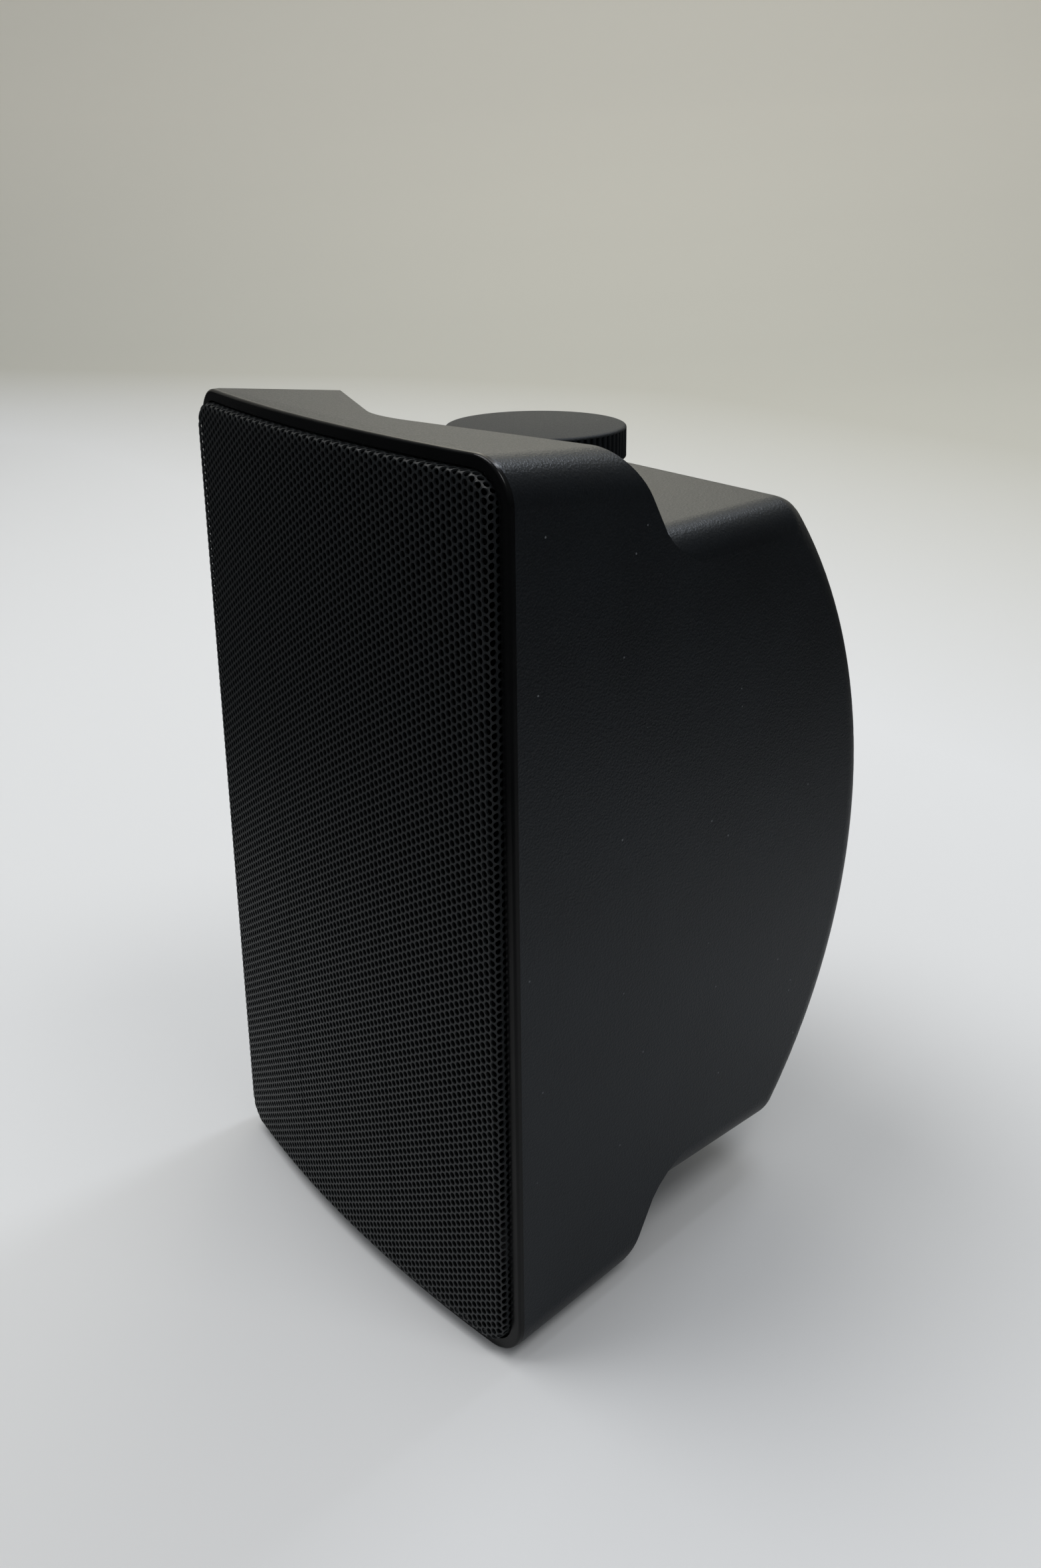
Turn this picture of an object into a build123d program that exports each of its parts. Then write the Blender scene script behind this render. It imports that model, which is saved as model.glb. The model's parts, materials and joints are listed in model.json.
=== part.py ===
# Two-way patio speaker: a tapered moulded cabinet with a bowed perforated grille,
# bracket shelves stepped into its top and bottom, and a large clamp knob on each shelf.
# Millimetres. +Z is up, the grille faces -Y, and the origin is the middle of the footprint.
import os
from math import asin, cos, pi, radians, sin, sqrt, tan

from build123d import *

os.makedirs("parts", exist_ok=True)

# Cabinet form
front_width = 156.5
front_height = 250.0
total_depth = 159.6
front_bow = 6.0
rim_corner = 11.9
side_taper = 9.5
end_taper = 5.1
edge_radius = 10.0
wall = 3.0

# Bracket shelves, stepped down behind a chevron riser
shelf_drop = 26.0
chevron_depth = 27.8
chevron_angle = 21.3
chevron_round = 1.0
riser_bands = ((4.0, 62.0), (3.0, 52.0), (3.0, 41.0), (30.0, 30.0))
back_radius = 144.8

# Front frame and grille
rim_width = 3.2
rim_lip = 1.6
rim_edge = 0.8
mouth_wall = 1.5
frame_gap = 0.2
baffle_depth = 9.0
baffle_thick = 4.0
gasket_thick = 1.0
gasket_width = 1.7
grille_proud = 2.8
grille_gap = 0.6
grille_sheet = 0.9
grille_bend = 1.3
opening_pitch = 17.4
opening_across = 11.0
opening_margin = 2.0
scrim_thick = 0.5
glue_gap = 0.05

# Woofer, and how the front's spare height is shared between its foot and the tweeter's top
foot_share = 0.574
driver_gap = 2.0
woofer_radius = 61.0
woofer_flange = 1.5
woofer_hole = 54.0
basket_gap = 1.0
basket_waist = 13.0
basket_length = 36.0
basket_sheet = 1.5
basket_bore = 16.0
basket_windows = 4
window_length = 10.5
window_width = 34.0
roll_radius = 4.8
roll_center = 46.5
rubber = 0.6
surround_land = 1.4
cone_length = 23.5
cone_sheet = 1.2
cap_radius = 19.0
cap_rise = 6.7
cap_sheet = 0.6
cap_seat = 0.35
arc_steps = 6
coil_radius = 13.2
coil_wall = 0.5
winding_thick = 0.6
winding_length = 10.0
coil_gap = 0.5
spider_depth = 27.5
spider_ledge = 33.0
spider_wave = 1.5
spider_pitch = 3.0
spider_waves = 5
plate_radius = 36.0
top_plate = 5.0
magnet_radius = 39.0
magnet_bore = 19.0
magnet_length = 14.0
back_plate = 5.0
woofer_screw_circle = 58.0

# Tweeter
tweeter_radius = 36.0
tweeter_hole = 26.0
tweeter_face = 3.0
tweeter_flare = 20.0
tweeter_throat = 15.4
dome_radius = 12.5
dome_rise = 4.2
dome_sheet = 0.4
dome_roll = 1.1
dome_land = 4.2
dome_ledge = 0.8
tweeter_winding = 0.5
tweeter_coil_length = 4.9
tweeter_gap = 0.5
tweeter_plate_radius = 22.0
tweeter_plate_thick = 3.0
tweeter_magnet_radius = 23.0
tweeter_magnet_bore = 15.0
tweeter_magnet_length = 8.0
tweeter_screw_circle = 30.5

# Terminal pocket, spring clips and crossover, on the middle of the back
pocket_width = 70.0
pocket_height = 50.0
pocket_depth = 16.0
pocket_corner = 3.0
block_width = 64.0
block_height = 36.0
block_depth = 9.0
lever_width = 14.0
lever_length = 20.0
lever_thick = 3.0
lever_pitch = 24.0
lever_proud = 0.6
lever_side_gap = 0.3
lever_end_gap = 0.9
lever_recess = 7.0
pivot_radius = 1.2
pivot_length = 2.5
pivot_gap = 0.06
wire_hole = 1.6
wire_drop = 14.6
contact_width = 5.0
contact_thick = 0.8
contact_web = 0.4
contact_length = 14.0
contact_slot = 3.0
board_width = 66.0
board_height = 46.0
board_thick = 1.6
post_radius = 3.5
post_length = 6.0
post_x = 28.0
post_z = 18.0
bobbin_radius = 13.0
bobbin_core = 6.0
bobbin_length = 15.0
bobbin_flange = 1.5
bobbin_x = -15.0
capacitor_radius = 6.0
capacitor_length = 22.0
capacitor_pitch = 13.0
part_x = 12.0
resistor_height = 9.0

# Clamp knobs
knob_radius = 25.5
knob_depth = 65.0
knob_thick = 10.0
knob_ribs = 50
rib_depth = 0.9
rib_width = 1.5
knob_crown_edge = 0.6
knob_foot_edge = 1.35
knob_wall = 3.0
knob_top = 3.5
hub_radius = 11.0
hub_length = 4.0
washer_radius = 11.5
washer_thick = 1.5
boss_radius = 12.0
boss_height = 2.0
stud_radius = 3.0
stud_grip = 6.5
stud_reach = 13.0
thread_gap = 0.05
insert_radius = 4.5
insert_length = 14.0
insert_wall = 3.5

# Screws
screw_radius = 1.5
screw_gap = 0.1
screw_head = 2.8
screw_head_thick = 1.8
screw_length = 12.0
short_screw = 8.0
screw_boss = 4.0
boss_length = 14.0
socket_radius = 1.2
socket_depth = 0.9
frame_screw_inset = 11.75
frame_screw_end = 14.0
frame_screw_rise = 3.0

front_y = -total_depth / 2
back_y = total_depth / 2
crown_y = front_y + grille_proud
rim_y = crown_y + front_bow
lip_y = rim_y + rim_lip
mid_z = front_height / 2
bow_radius = ((front_width / 2) ** 2 + front_bow ** 2) / (2 * front_bow)
bow_center = crown_y + bow_radius
shelf_z = front_height - shelf_drop
baffle_y = rim_y + baffle_depth
frame_back_y = baffle_y + baffle_thick
knob_y = rim_y + knob_depth
slope_x = tan(radians(side_taper))
slope_z = tan(radians(end_taper))
seat_y = frame_back_y + gasket_thick
skirt_inset = mouth_wall + frame_gap
grille_inset = rim_width + grille_gap
grille_radius = bow_radius + grille_proud
screw_bore = screw_radius + screw_gap
column_pitch = opening_pitch * sin(pi / 3)
opening_edge = grille_inset + grille_bend + opening_margin
opening_columns = int((front_width / 2 - opening_edge - opening_across / sqrt(3)) / column_pitch)
opening_rows = int((front_height / 2 - opening_edge - opening_across / 2) / opening_pitch)

# Heights of the drivers, and of the screws that hold the frame
driver_stack = 2 * woofer_radius + driver_gap + 2 * tweeter_radius
woofer_height = foot_share * (front_height - driver_stack) + woofer_radius
tweeter_height = woofer_height + woofer_radius + driver_gap + tweeter_radius
frame_screw_x = front_width / 2 - frame_screw_inset
frame_screw_z = (
    frame_screw_end,
    woofer_height + woofer_radius + frame_screw_rise,
    front_height - frame_screw_end,
)

# Depths of the drivers' parts behind the rim's corners
flange_at = baffle_depth - woofer_flange
waist_at = baffle_depth + basket_waist
floor_at = baffle_depth + basket_length
spider_at = baffle_depth + spider_depth
neck_at = flange_at + cone_length
magnet_at = floor_at + top_plate
yoke_at = magnet_at + magnet_length
throat = woofer_hole - basket_gap
cone_mouth = roll_center - roll_radius
neck = coil_radius + glue_gap
pole = coil_radius - coil_wall - coil_gap
face_at = baffle_depth - tweeter_face
dome_at = baffle_depth - dome_ledge
tweeter_coil = dome_radius + glue_gap
tweeter_magnet_at = baffle_depth + tweeter_plate_thick
tweeter_yoke_at = tweeter_magnet_at + tweeter_magnet_length
tweeter_pole = tweeter_coil - tweeter_winding - tweeter_gap

# Stations of the terminal pocket, and of the knobs above their shelves
pocket_y = back_y - pocket_depth
inner_y = pocket_y - wall
block_y = pocket_y + block_depth
pivot_y = block_y - lever_thick
pivot_z = lever_length / 2 - 2 * pivot_radius
contact_z = wire_hole + contact_web + contact_thick / 2 - wire_drop
board_y = inner_y - post_length
board_front_y = board_y - board_thick
block_screw_x = (block_width - 2 * wall) / 2
hub_rise = boss_height + washer_thick
knob_rise = hub_rise + hub_length


def around(height, circle):
    """Four screw places about a driver's centre line."""
    offset = circle * sin(pi / 4)
    return [(x, height + z) for x in (-offset, offset) for z in (-offset, offset)]


frame_screw_places = [(x, z) for x in (-frame_screw_x, frame_screw_x) for z in frame_screw_z]
woofer_screw_places = around(woofer_height, woofer_screw_circle)
tweeter_screw_places = around(tweeter_height, tweeter_screw_circle)
board_screw_places = [(x, mid_z + z) for x in (-post_x, post_x) for z in (-post_z, post_z)]
block_screw_places = [(-block_screw_x, mid_z), (block_screw_x, mid_z)]
lever_places = [-lever_pitch / 2, lever_pitch / 2]


def facing(y):
    """Plane square to the front at depth y, looking forward, centred on the height."""
    return Plane(origin=(0, y, mid_z), x_dir=(1, 0, 0), z_dir=(0, -1, 0))


def half_width(y):
    return front_width / 2 - max(0, y - lip_y) * slope_x


def half_height(y):
    return front_height / 2 - max(0, y - lip_y) * slope_z


def frustum(inset, start, end):
    """The front block's tapered form, inset all round, straight as far back as the rim's lip."""
    foot = max(start, lip_y)
    wide, narrow = half_width(foot) - inset, half_width(end) - inset
    high, low = half_height(foot) - inset, half_height(end) - inset
    with BuildPart() as block:
        with BuildSketch(Plane.XY):
            Polygon((-wide, foot), (wide, foot), (narrow, end), (-narrow, end), align=None)
        extrude(amount=front_height)
        with BuildSketch(Plane.YZ):
            with Locations((0, mid_z)):
                Polygon((foot, -high), (end, -low), (end, low), (foot, high), align=None)
        extrude(amount=front_width, both=True, mode=Mode.INTERSECT)
        corners = block.edges().filter_by_position(Axis.Y, foot, end, inclusive=(False, False))
        fillet(corners, rim_corner - inset)
        if start < foot:
            extrude(block.faces().sort_by(Axis.Y)[0], amount=foot - start)
    return block.part


def bowed(radius):
    """Everything behind a front face that is bowed in plan about the common centre."""
    with BuildPart() as cylinder:
        with BuildSketch(Plane.XY.offset(mid_z)):
            with Locations((0, bow_center)):
                Circle(radius)
        extrude(amount=front_height, both=True)
    return cylinder.part


def body_form(inset):
    """The cabinet's outside, or with the wall as inset the space inside it."""
    top_z = shelf_z - inset
    start_z = top_z - edge_radius
    run = sum(height * tan(radians(draft)) for height, draft in riser_bands[:-1])
    apex_y = rim_y + chevron_depth + (run - inset) / cos(radians(chevron_angle))
    side_y = apex_y + front_width * tan(radians(chevron_angle))
    with BuildPart() as chevron:
        with BuildSketch(Plane.XY.offset(start_z)) as plan:
            with BuildLine():
                Polyline(
                    (-front_width, 2 * front_y),
                    (front_width, 2 * front_y),
                    (front_width, side_y),
                    (0, apex_y),
                    (-front_width, side_y),
                    close=True,
                )
            make_face()
            fillet(plan.vertices().group_by(Axis.Y)[1], chevron_round + inset)
        extrude(amount=mid_z - start_z)
        for height, draft in riser_bands:
            extrude(chevron.faces().sort_by(Axis.Z)[-1], amount=height, taper=draft)
        mirror(about=Plane.XY.offset(mid_z))
    with BuildPart() as rear:
        with BuildSketch(Plane.YZ):
            with Locations((baffle_y, mid_z)):
                Rectangle(total_depth, 2 * (top_z - mid_z), align=(Align.MIN, Align.CENTER))
            with Locations((back_y - back_radius, mid_z)):
                Circle(back_radius - inset, mode=Mode.INTERSECT)
        extrude(amount=front_width, both=True)
        with BuildSketch(Plane.XY) as plan:
            with BuildLine():
                Polyline(
                    (-half_width(baffle_y) + inset, baffle_y),
                    (half_width(baffle_y) - inset, baffle_y),
                    (half_width(back_y) - inset, back_y),
                    (-half_width(back_y) + inset, back_y),
                    close=True,
                )
            make_face()
        extrude(amount=front_height, mode=Mode.INTERSECT)
        fillet(rear.edges().filter_by_position(Axis.Y, baffle_y + wall, back_y), edge_radius - inset)
    with BuildPart() as form:
        add(frustum(inset, front_y, rim_y + 2 * chevron_depth + front_width * sin(radians(chevron_angle))))
        add(chevron.part, mode=Mode.INTERSECT)
        add(rear.part)
    return form.part


def spots(places):
    """Places on the front, as locations on a plane that faces forward."""
    return Locations(*[(x, z - mid_z) for x, z in places])


def shelf(side, rise):
    """Plane on a knob's axis, risen outward from the upper (1) or lower (-1) shelf."""
    return Plane(origin=(0, knob_y, mid_z + side * (shelf_z - mid_z + rise)), z_dir=(0, 0, side))


def pillars():
    """Screw pillars for the frame, each tied to the side wall by a web."""
    web = front_width / 2 - frame_screw_x
    with BuildPart() as group:
        with BuildSketch(facing(frame_back_y)):
            with spots(frame_screw_places):
                Circle(screw_boss)
        extrude(amount=-boss_length)
        with BuildSketch(facing(seat_y)):
            with spots([(x * (1 + web / 2 / frame_screw_x), z) for x, z in frame_screw_places]):
                Rectangle(web, wall)
        extrude(amount=-boss_length)
        add(body_form(wall / 2), mode=Mode.INTERSECT)
    return group.part


def pocket_walls():
    """Solid block on the inside of the back, from which the terminal pocket is hollowed."""
    with BuildPart() as block:
        with BuildSketch(facing(inner_y)):
            RectangleRounded(pocket_width + 2 * wall, pocket_height + 2 * wall, pocket_corner + wall)
        extrude(amount=-pocket_depth)
        add(body_form(wall / 2), mode=Mode.INTERSECT)
    return block.part


def tray(inset, radius, bend):
    """Block that fills the frame's opening, bowed in front and rounded at the edge of its face."""
    with BuildPart() as block:
        add(frustum(inset, front_y - grille_proud, baffle_y))
        add(bowed(radius), mode=Mode.INTERSECT)
        fillet(block.faces().sort_by(Axis.Y)[0].outer_wire().edges(), bend)
    return block.part


def turned(height, *profile):
    """A body turned about a driver's centre line, drawn as pairs of depth and radius."""
    with BuildPart() as body:
        with BuildSketch(Plane(origin=(0, rim_y, height), x_dir=(0, 1, 0), z_dir=(1, 0, 0))):
            Polygon(*profile, align=None)
        revolve(axis=Axis((0, rim_y, height), (0, 1, 0)))
    return body.part


def ring(height, start, end, inner, outer):
    """A plain ring between two depths, or a disc where the inner radius is nought."""
    return turned(height, (start, inner), (end, inner), (end, outer), (start, outer))


def half_roll(height, base, center, radius, sheet, inner, outer):
    """A half-roll surround that bulges forward between an inner and an outer land."""
    angles = [pi * step / arc_steps for step in range(arc_steps + 1)]
    front = [(base - sheet - radius * sin(a), center + radius * cos(a)) for a in reversed(angles)]
    rear = [(base - sheet - (radius - sheet) * sin(a), center + (radius - sheet) * cos(a)) for a in angles]
    lands = [(base - sheet, outer), (base, outer), (base, center + radius - sheet)]
    foot = [(base, center - radius + sheet), (base, inner), (base - sheet, inner)]
    return turned(height, *lands, *rear, *foot, *front)


def cap(height, rim_at, rim_radius, rise, sheet):
    """A thin spherical cap that bulges forward from its rim."""
    sphere = (rim_radius**2 + rise**2) / (2 * rise)
    center = rim_at + sphere - rise
    angles = [asin(rim_radius / sphere) * step / arc_steps for step in range(arc_steps + 1)]
    front = [(center - sphere * cos(a), sphere * sin(a)) for a in angles]
    rear = [(center - (sphere - sheet) * cos(a), (sphere - sheet) * sin(a)) for a in reversed(angles)]
    return turned(height, *front, *rear)


def screws(seat, length, places, side=1):
    """Cross-head screws along Y with heads on seat, driven rearward (1) or forward (-1)."""
    with BuildPart() as group:
        with BuildSketch(facing(seat)):
            with spots(places):
                Circle(screw_radius)
        extrude(amount=-side * length)
        with BuildSketch(facing(seat)):
            with spots(places):
                Circle(screw_head)
        extrude(amount=side * screw_head_thick)
        with BuildSketch(facing(seat - side * screw_head_thick)):
            with spots(places):
                Rectangle(2 * socket_radius, socket_radius / 2)
                Rectangle(socket_radius / 2, 2 * socket_radius)
        extrude(amount=-side * socket_depth, mode=Mode.SUBTRACT)
    return group.part


def knob(side):
    """Ribbed clamp knob with a hollow underside and a hub that takes the stud."""
    with BuildPart() as body:
        with BuildSketch(shelf(side, knob_rise)):
            Circle(knob_radius)
        extrude(amount=knob_thick)
        rims = body.edges().sort_by(Axis.Z, reverse=side < 0)
        chamfer(rims[-1], knob_crown_edge)
        chamfer(rims[0], knob_foot_edge)
        with BuildSketch(shelf(side, knob_rise)):
            with PolarLocations(knob_radius, knob_ribs):
                Rectangle(2 * rib_depth, rib_width)
        extrude(amount=knob_thick, mode=Mode.SUBTRACT)
        with BuildSketch(shelf(side, knob_rise)):
            Circle(knob_radius - knob_wall)
            Circle(hub_radius, mode=Mode.SUBTRACT)
        extrude(amount=knob_thick - knob_top, mode=Mode.SUBTRACT)
        with BuildSketch(shelf(side, hub_rise)):
            Circle(hub_radius)
        extrude(amount=hub_length)
        with BuildSketch(shelf(side, hub_rise)):
            Circle(stud_radius)
        extrude(amount=stud_grip, mode=Mode.SUBTRACT)
    return body.part


def stack(side, start, end, inner, outer):
    """A ring or rod on a knob's axis between two rises above the shelf."""
    with BuildPart() as body:
        with BuildSketch(shelf(side, start)):
            Circle(outer)
            if inner:
                Circle(inner, mode=Mode.SUBTRACT)
        extrude(amount=end - start)
    return body.part


def lever(x):
    """Spring-clip lever with a hub and two short pins, hinged near its upper end."""
    with BuildPart() as body:
        with BuildSketch(facing(block_y + lever_proud)):
            with Locations((x, 0)):
                Rectangle(lever_width, lever_length)
        extrude(amount=lever_thick)
        with BuildSketch(Plane(origin=(x, pivot_y, mid_z + pivot_z), z_dir=(1, 0, 0))):
            Circle(2 * pivot_radius)
        extrude(amount=lever_width / 2, both=True)
        with BuildSketch(Plane(origin=(x, pivot_y, mid_z + pivot_z), z_dir=(1, 0, 0))):
            Circle(pivot_radius)
        extrude(amount=lever_width / 2 + pivot_length, both=True)
    return body.part


with BuildPart() as cabinet:
    add(body_form(0))
    add(bowed(bow_radius - rim_lip), mode=Mode.INTERSECT)
    add(body_form(wall), mode=Mode.SUBTRACT)
    add(frustum(mouth_wall, front_y, seat_y), mode=Mode.SUBTRACT)
    add(pillars())
    with BuildSketch(facing(frame_back_y)):
        with spots(frame_screw_places):
            Circle(screw_bore)
    extrude(amount=-boss_length, mode=Mode.SUBTRACT)
    for side in (1, -1):
        add(stack(side, 0, boss_height, 0, boss_radius))
        add(stack(side, boss_height - insert_length - wall, boss_height, 0, insert_radius + insert_wall))
        add(stack(side, boss_height - insert_length, boss_height, 0, insert_radius), mode=Mode.SUBTRACT)
    add(pocket_walls())
    with BuildSketch(facing(pocket_y)):
        RectangleRounded(pocket_width, pocket_height, pocket_corner)
    extrude(amount=-2 * pocket_depth, mode=Mode.SUBTRACT)
    with BuildSketch(facing(inner_y)):
        with spots(board_screw_places):
            Circle(post_radius)
    extrude(amount=post_length)
    with BuildSketch(facing(inner_y)):
        with spots(block_screw_places):
            Circle(screw_boss)
    extrude(amount=wall)
    with BuildSketch(facing(board_y)):
        with spots(board_screw_places):
            Circle(screw_bore)
    extrude(amount=-short_screw, mode=Mode.SUBTRACT)
    with BuildSketch(facing(pocket_y)):
        with spots(block_screw_places):
            Circle(screw_bore)
    extrude(amount=screw_length - block_depth + screw_gap, mode=Mode.SUBTRACT)
    with BuildSketch(facing(pocket_y)):
        with Locations((0, contact_z)):
            Rectangle(lever_pitch + contact_width + 2 * screw_gap, contact_slot)
    extrude(amount=wall, mode=Mode.SUBTRACT)
cabinet.part.label = "cabinet"
export_step(cabinet.part, "parts/cabinet.step")

with BuildPart() as front_frame:
    add(frustum(0, front_y, rim_y + 2 * rim_lip))
    add(bowed(bow_radius - rim_lip), mode=Mode.SUBTRACT)
    add(frustum(skirt_inset, front_y, frame_back_y))
    add(bowed(bow_radius), mode=Mode.INTERSECT)
    add(frustum(rim_width, front_y - wall, baffle_y), mode=Mode.SUBTRACT)
    fillet(front_frame.faces().sort_by(Axis.Y)[0].outer_wire().edges(), rim_edge)
    with BuildSketch(facing(frame_back_y)):
        with spots(woofer_screw_places + tweeter_screw_places):
            Circle(screw_boss)
    extrude(amount=-short_screw)
    with BuildSketch(facing(baffle_y)):
        with spots([(0, woofer_height)]):
            Circle(woofer_hole)
        with spots([(0, tweeter_height)]):
            Circle(tweeter_hole)
        with spots(woofer_screw_places + tweeter_screw_places + frame_screw_places):
            Circle(screw_bore)
    extrude(amount=-screw_length - wall, mode=Mode.SUBTRACT)
front_frame.part.label = "front_frame"
export_step(front_frame.part, "parts/front_frame.step")

with BuildPart() as frame_gasket:
    add(frustum(skirt_inset, frame_back_y, seat_y))
    add(frustum(skirt_inset + gasket_width, frame_back_y, seat_y), mode=Mode.SUBTRACT)
frame_gasket.part.label = "frame_gasket"
export_step(frame_gasket.part, "parts/frame_gasket.step")

with BuildPart() as frame_screws:
    add(screws(baffle_y, screw_length, frame_screw_places))
frame_screws.part.label = "frame_screws"
export_step(frame_screws.part, "parts/frame_screws.step")

with BuildPart() as grille:
    add(tray(grille_inset, grille_radius, grille_bend))
    add(
        tray(grille_inset + grille_sheet, grille_radius - grille_sheet, grille_bend - grille_sheet),
        mode=Mode.SUBTRACT,
    )
    with BuildSketch(facing(front_y)):
        for column in range(-opening_columns, opening_columns + 1):
            shift = opening_pitch / 2 * (column % 2)
            for row in range(-opening_rows, opening_rows + 1 - column % 2):
                with Locations((column * column_pitch, row * opening_pitch + shift)):
                    RegularPolygon(opening_across / 2, 6, major_radius=False)
    extrude(amount=-baffle_depth, mode=Mode.SUBTRACT)
grille.part.label = "grille"
export_step(grille.part, "parts/grille.step")

with BuildPart() as grille_scrim:
    add(frustum(grille_inset + grille_sheet + grille_bend, front_y - grille_proud, baffle_y))
    add(bowed(grille_radius - grille_sheet - glue_gap), mode=Mode.INTERSECT)
    add(bowed(grille_radius - grille_sheet - glue_gap - scrim_thick), mode=Mode.SUBTRACT)
grille_scrim.part.label = "grille_scrim"
export_step(grille_scrim.part, "parts/grille_scrim.step")

with BuildPart() as woofer_basket:
    add(
        turned(
            woofer_height,
            (flange_at, woofer_radius),
            (baffle_depth, woofer_radius),
            (baffle_depth, throat),
            (waist_at, throat - basket_gap),
            (floor_at, plate_radius),
            (floor_at, basket_bore),
            (floor_at - basket_sheet, basket_bore),
            (floor_at - basket_sheet, plate_radius - basket_sheet),
            (waist_at, throat - basket_gap - basket_sheet),
            (flange_at, throat - basket_sheet),
        )
    )
    wall_slope = (throat - basket_gap - plate_radius) / (floor_at - waist_at)
    ledge_outer = throat - basket_gap - basket_sheet / 2 - (spider_at - waist_at) * wall_slope
    add(
        turned(
            woofer_height,
            (spider_at, spider_ledge),
            (spider_at + basket_sheet, spider_ledge),
            (spider_at + basket_sheet, ledge_outer - basket_sheet * wall_slope),
            (spider_at, ledge_outer),
        )
    )
    with BuildSketch(facing(rim_y + waist_at + basket_sheet)):
        with spots([(0, woofer_height)]):
            with PolarLocations(throat - window_length, basket_windows, start_angle=180 / basket_windows):
                Rectangle(2 * window_length, window_width)
    extrude(amount=-window_length, mode=Mode.SUBTRACT)
    with BuildSketch(facing(baffle_y)):
        with spots(woofer_screw_places):
            Circle(screw_bore)
    extrude(amount=woofer_flange, mode=Mode.SUBTRACT)
woofer_basket.part.label = "woofer_basket"
export_step(woofer_basket.part, "parts/woofer_basket.step")

with BuildPart() as woofer_surround:
    add(
        half_roll(
            woofer_height,
            flange_at,
            roll_center,
            roll_radius,
            rubber,
            cone_mouth - surround_land,
            throat + surround_land,
        )
    )
woofer_surround.part.label = "woofer_surround"
export_step(woofer_surround.part, "parts/woofer_surround.step")

with BuildPart() as woofer_cone:
    add(
        turned(
            woofer_height,
            (flange_at, cone_mouth + rubber),
            (flange_at, cone_mouth - surround_land),
            (neck_at, neck),
            (neck_at + cone_sheet, neck),
            (flange_at + cone_sheet, cone_mouth + rubber),
        )
    )
woofer_cone.part.label = "woofer_cone"
export_step(woofer_cone.part, "parts/woofer_cone.step")

with BuildPart() as dust_cap:
    cone_slope = (cone_mouth - surround_land - neck) / cone_length
    cap_at = flange_at + (cone_mouth - surround_land - cap_radius - cap_seat) / cone_slope
    add(cap(woofer_height, cap_at, cap_radius, cap_rise, cap_sheet))
dust_cap.part.label = "dust_cap"
export_step(dust_cap.part, "parts/dust_cap.step")

with BuildPart() as coil_former:
    winding_at = floor_at + (top_plate - winding_length) / 2
    add(ring(woofer_height, neck_at, winding_at + winding_length, coil_radius - coil_wall, coil_radius))
coil_former.part.label = "coil_former"
export_step(coil_former.part, "parts/coil_former.step")

with BuildPart() as coil_winding:
    add(
        ring(
            woofer_height,
            winding_at,
            winding_at + winding_length,
            coil_radius,
            coil_radius + winding_thick,
        )
    )
coil_winding.part.label = "coil_winding"
export_step(coil_winding.part, "parts/coil_winding.step")

with BuildPart() as woofer_spider:
    line = [(spider_at - rubber, neck), (spider_at - rubber, neck + spider_pitch / 2)]
    for wave in range(1, spider_waves + 1):
        swing = spider_wave if wave % 2 == 0 else -spider_wave
        line.append((spider_at - rubber + swing, neck + spider_pitch * (wave + 0.5)))
    line.append((spider_at - rubber, spider_ledge))
    line.append((spider_at - rubber, spider_ledge + 2 * spider_pitch))
    add(turned(woofer_height, *line, *[(depth + rubber, radius) for depth, radius in reversed(line)]))
woofer_spider.part.label = "woofer_spider"
export_step(woofer_spider.part, "parts/woofer_spider.step")

with BuildPart() as woofer_top_plate:
    add(ring(woofer_height, floor_at, magnet_at, coil_radius + winding_thick + coil_gap, plate_radius))
woofer_top_plate.part.label = "woofer_top_plate"
export_step(woofer_top_plate.part, "parts/woofer_top_plate.step")

with BuildPart() as woofer_magnet:
    add(ring(woofer_height, magnet_at, yoke_at, magnet_bore, magnet_radius))
woofer_magnet.part.label = "woofer_magnet"
export_step(woofer_magnet.part, "parts/woofer_magnet.step")

with BuildPart() as woofer_yoke:
    add(ring(woofer_height, yoke_at, yoke_at + back_plate, 0, plate_radius))
    add(ring(woofer_height, floor_at, yoke_at, 0, pole))
woofer_yoke.part.label = "woofer_yoke"
export_step(woofer_yoke.part, "parts/woofer_yoke.step")

with BuildPart() as woofer_screws:
    add(screws(rim_y + flange_at, screw_length, woofer_screw_places))
woofer_screws.part.label = "woofer_screws"
export_step(woofer_screws.part, "parts/woofer_screws.step")

with BuildPart() as tweeter_faceplate:
    ledge_radius = tweeter_throat + dome_land
    add(
        turned(
            tweeter_height,
            (face_at, tweeter_radius),
            (baffle_depth, tweeter_radius),
            (baffle_depth, ledge_radius),
            (dome_at, ledge_radius),
            (dome_at, tweeter_throat),
            (dome_at - dome_ledge, tweeter_throat),
            (face_at, tweeter_flare),
        )
    )
    with BuildSketch(facing(baffle_y)):
        with spots(tweeter_screw_places):
            Circle(screw_bore)
    extrude(amount=tweeter_face, mode=Mode.SUBTRACT)
tweeter_faceplate.part.label = "tweeter_faceplate"
export_step(tweeter_faceplate.part, "parts/tweeter_faceplate.step")

with BuildPart() as tweeter_dome:
    add(cap(tweeter_height, dome_at, dome_radius, dome_rise, dome_sheet))
tweeter_dome.part.label = "tweeter_dome"
export_step(tweeter_dome.part, "parts/tweeter_dome.step")

with BuildPart() as tweeter_surround:
    add(
        half_roll(
            tweeter_height,
            baffle_depth,
            tweeter_coil + dome_roll + dome_sheet,
            dome_roll,
            dome_ledge,
            tweeter_coil,
            ledge_radius,
        )
    )
tweeter_surround.part.label = "tweeter_surround"
export_step(tweeter_surround.part, "parts/tweeter_surround.step")

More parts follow.
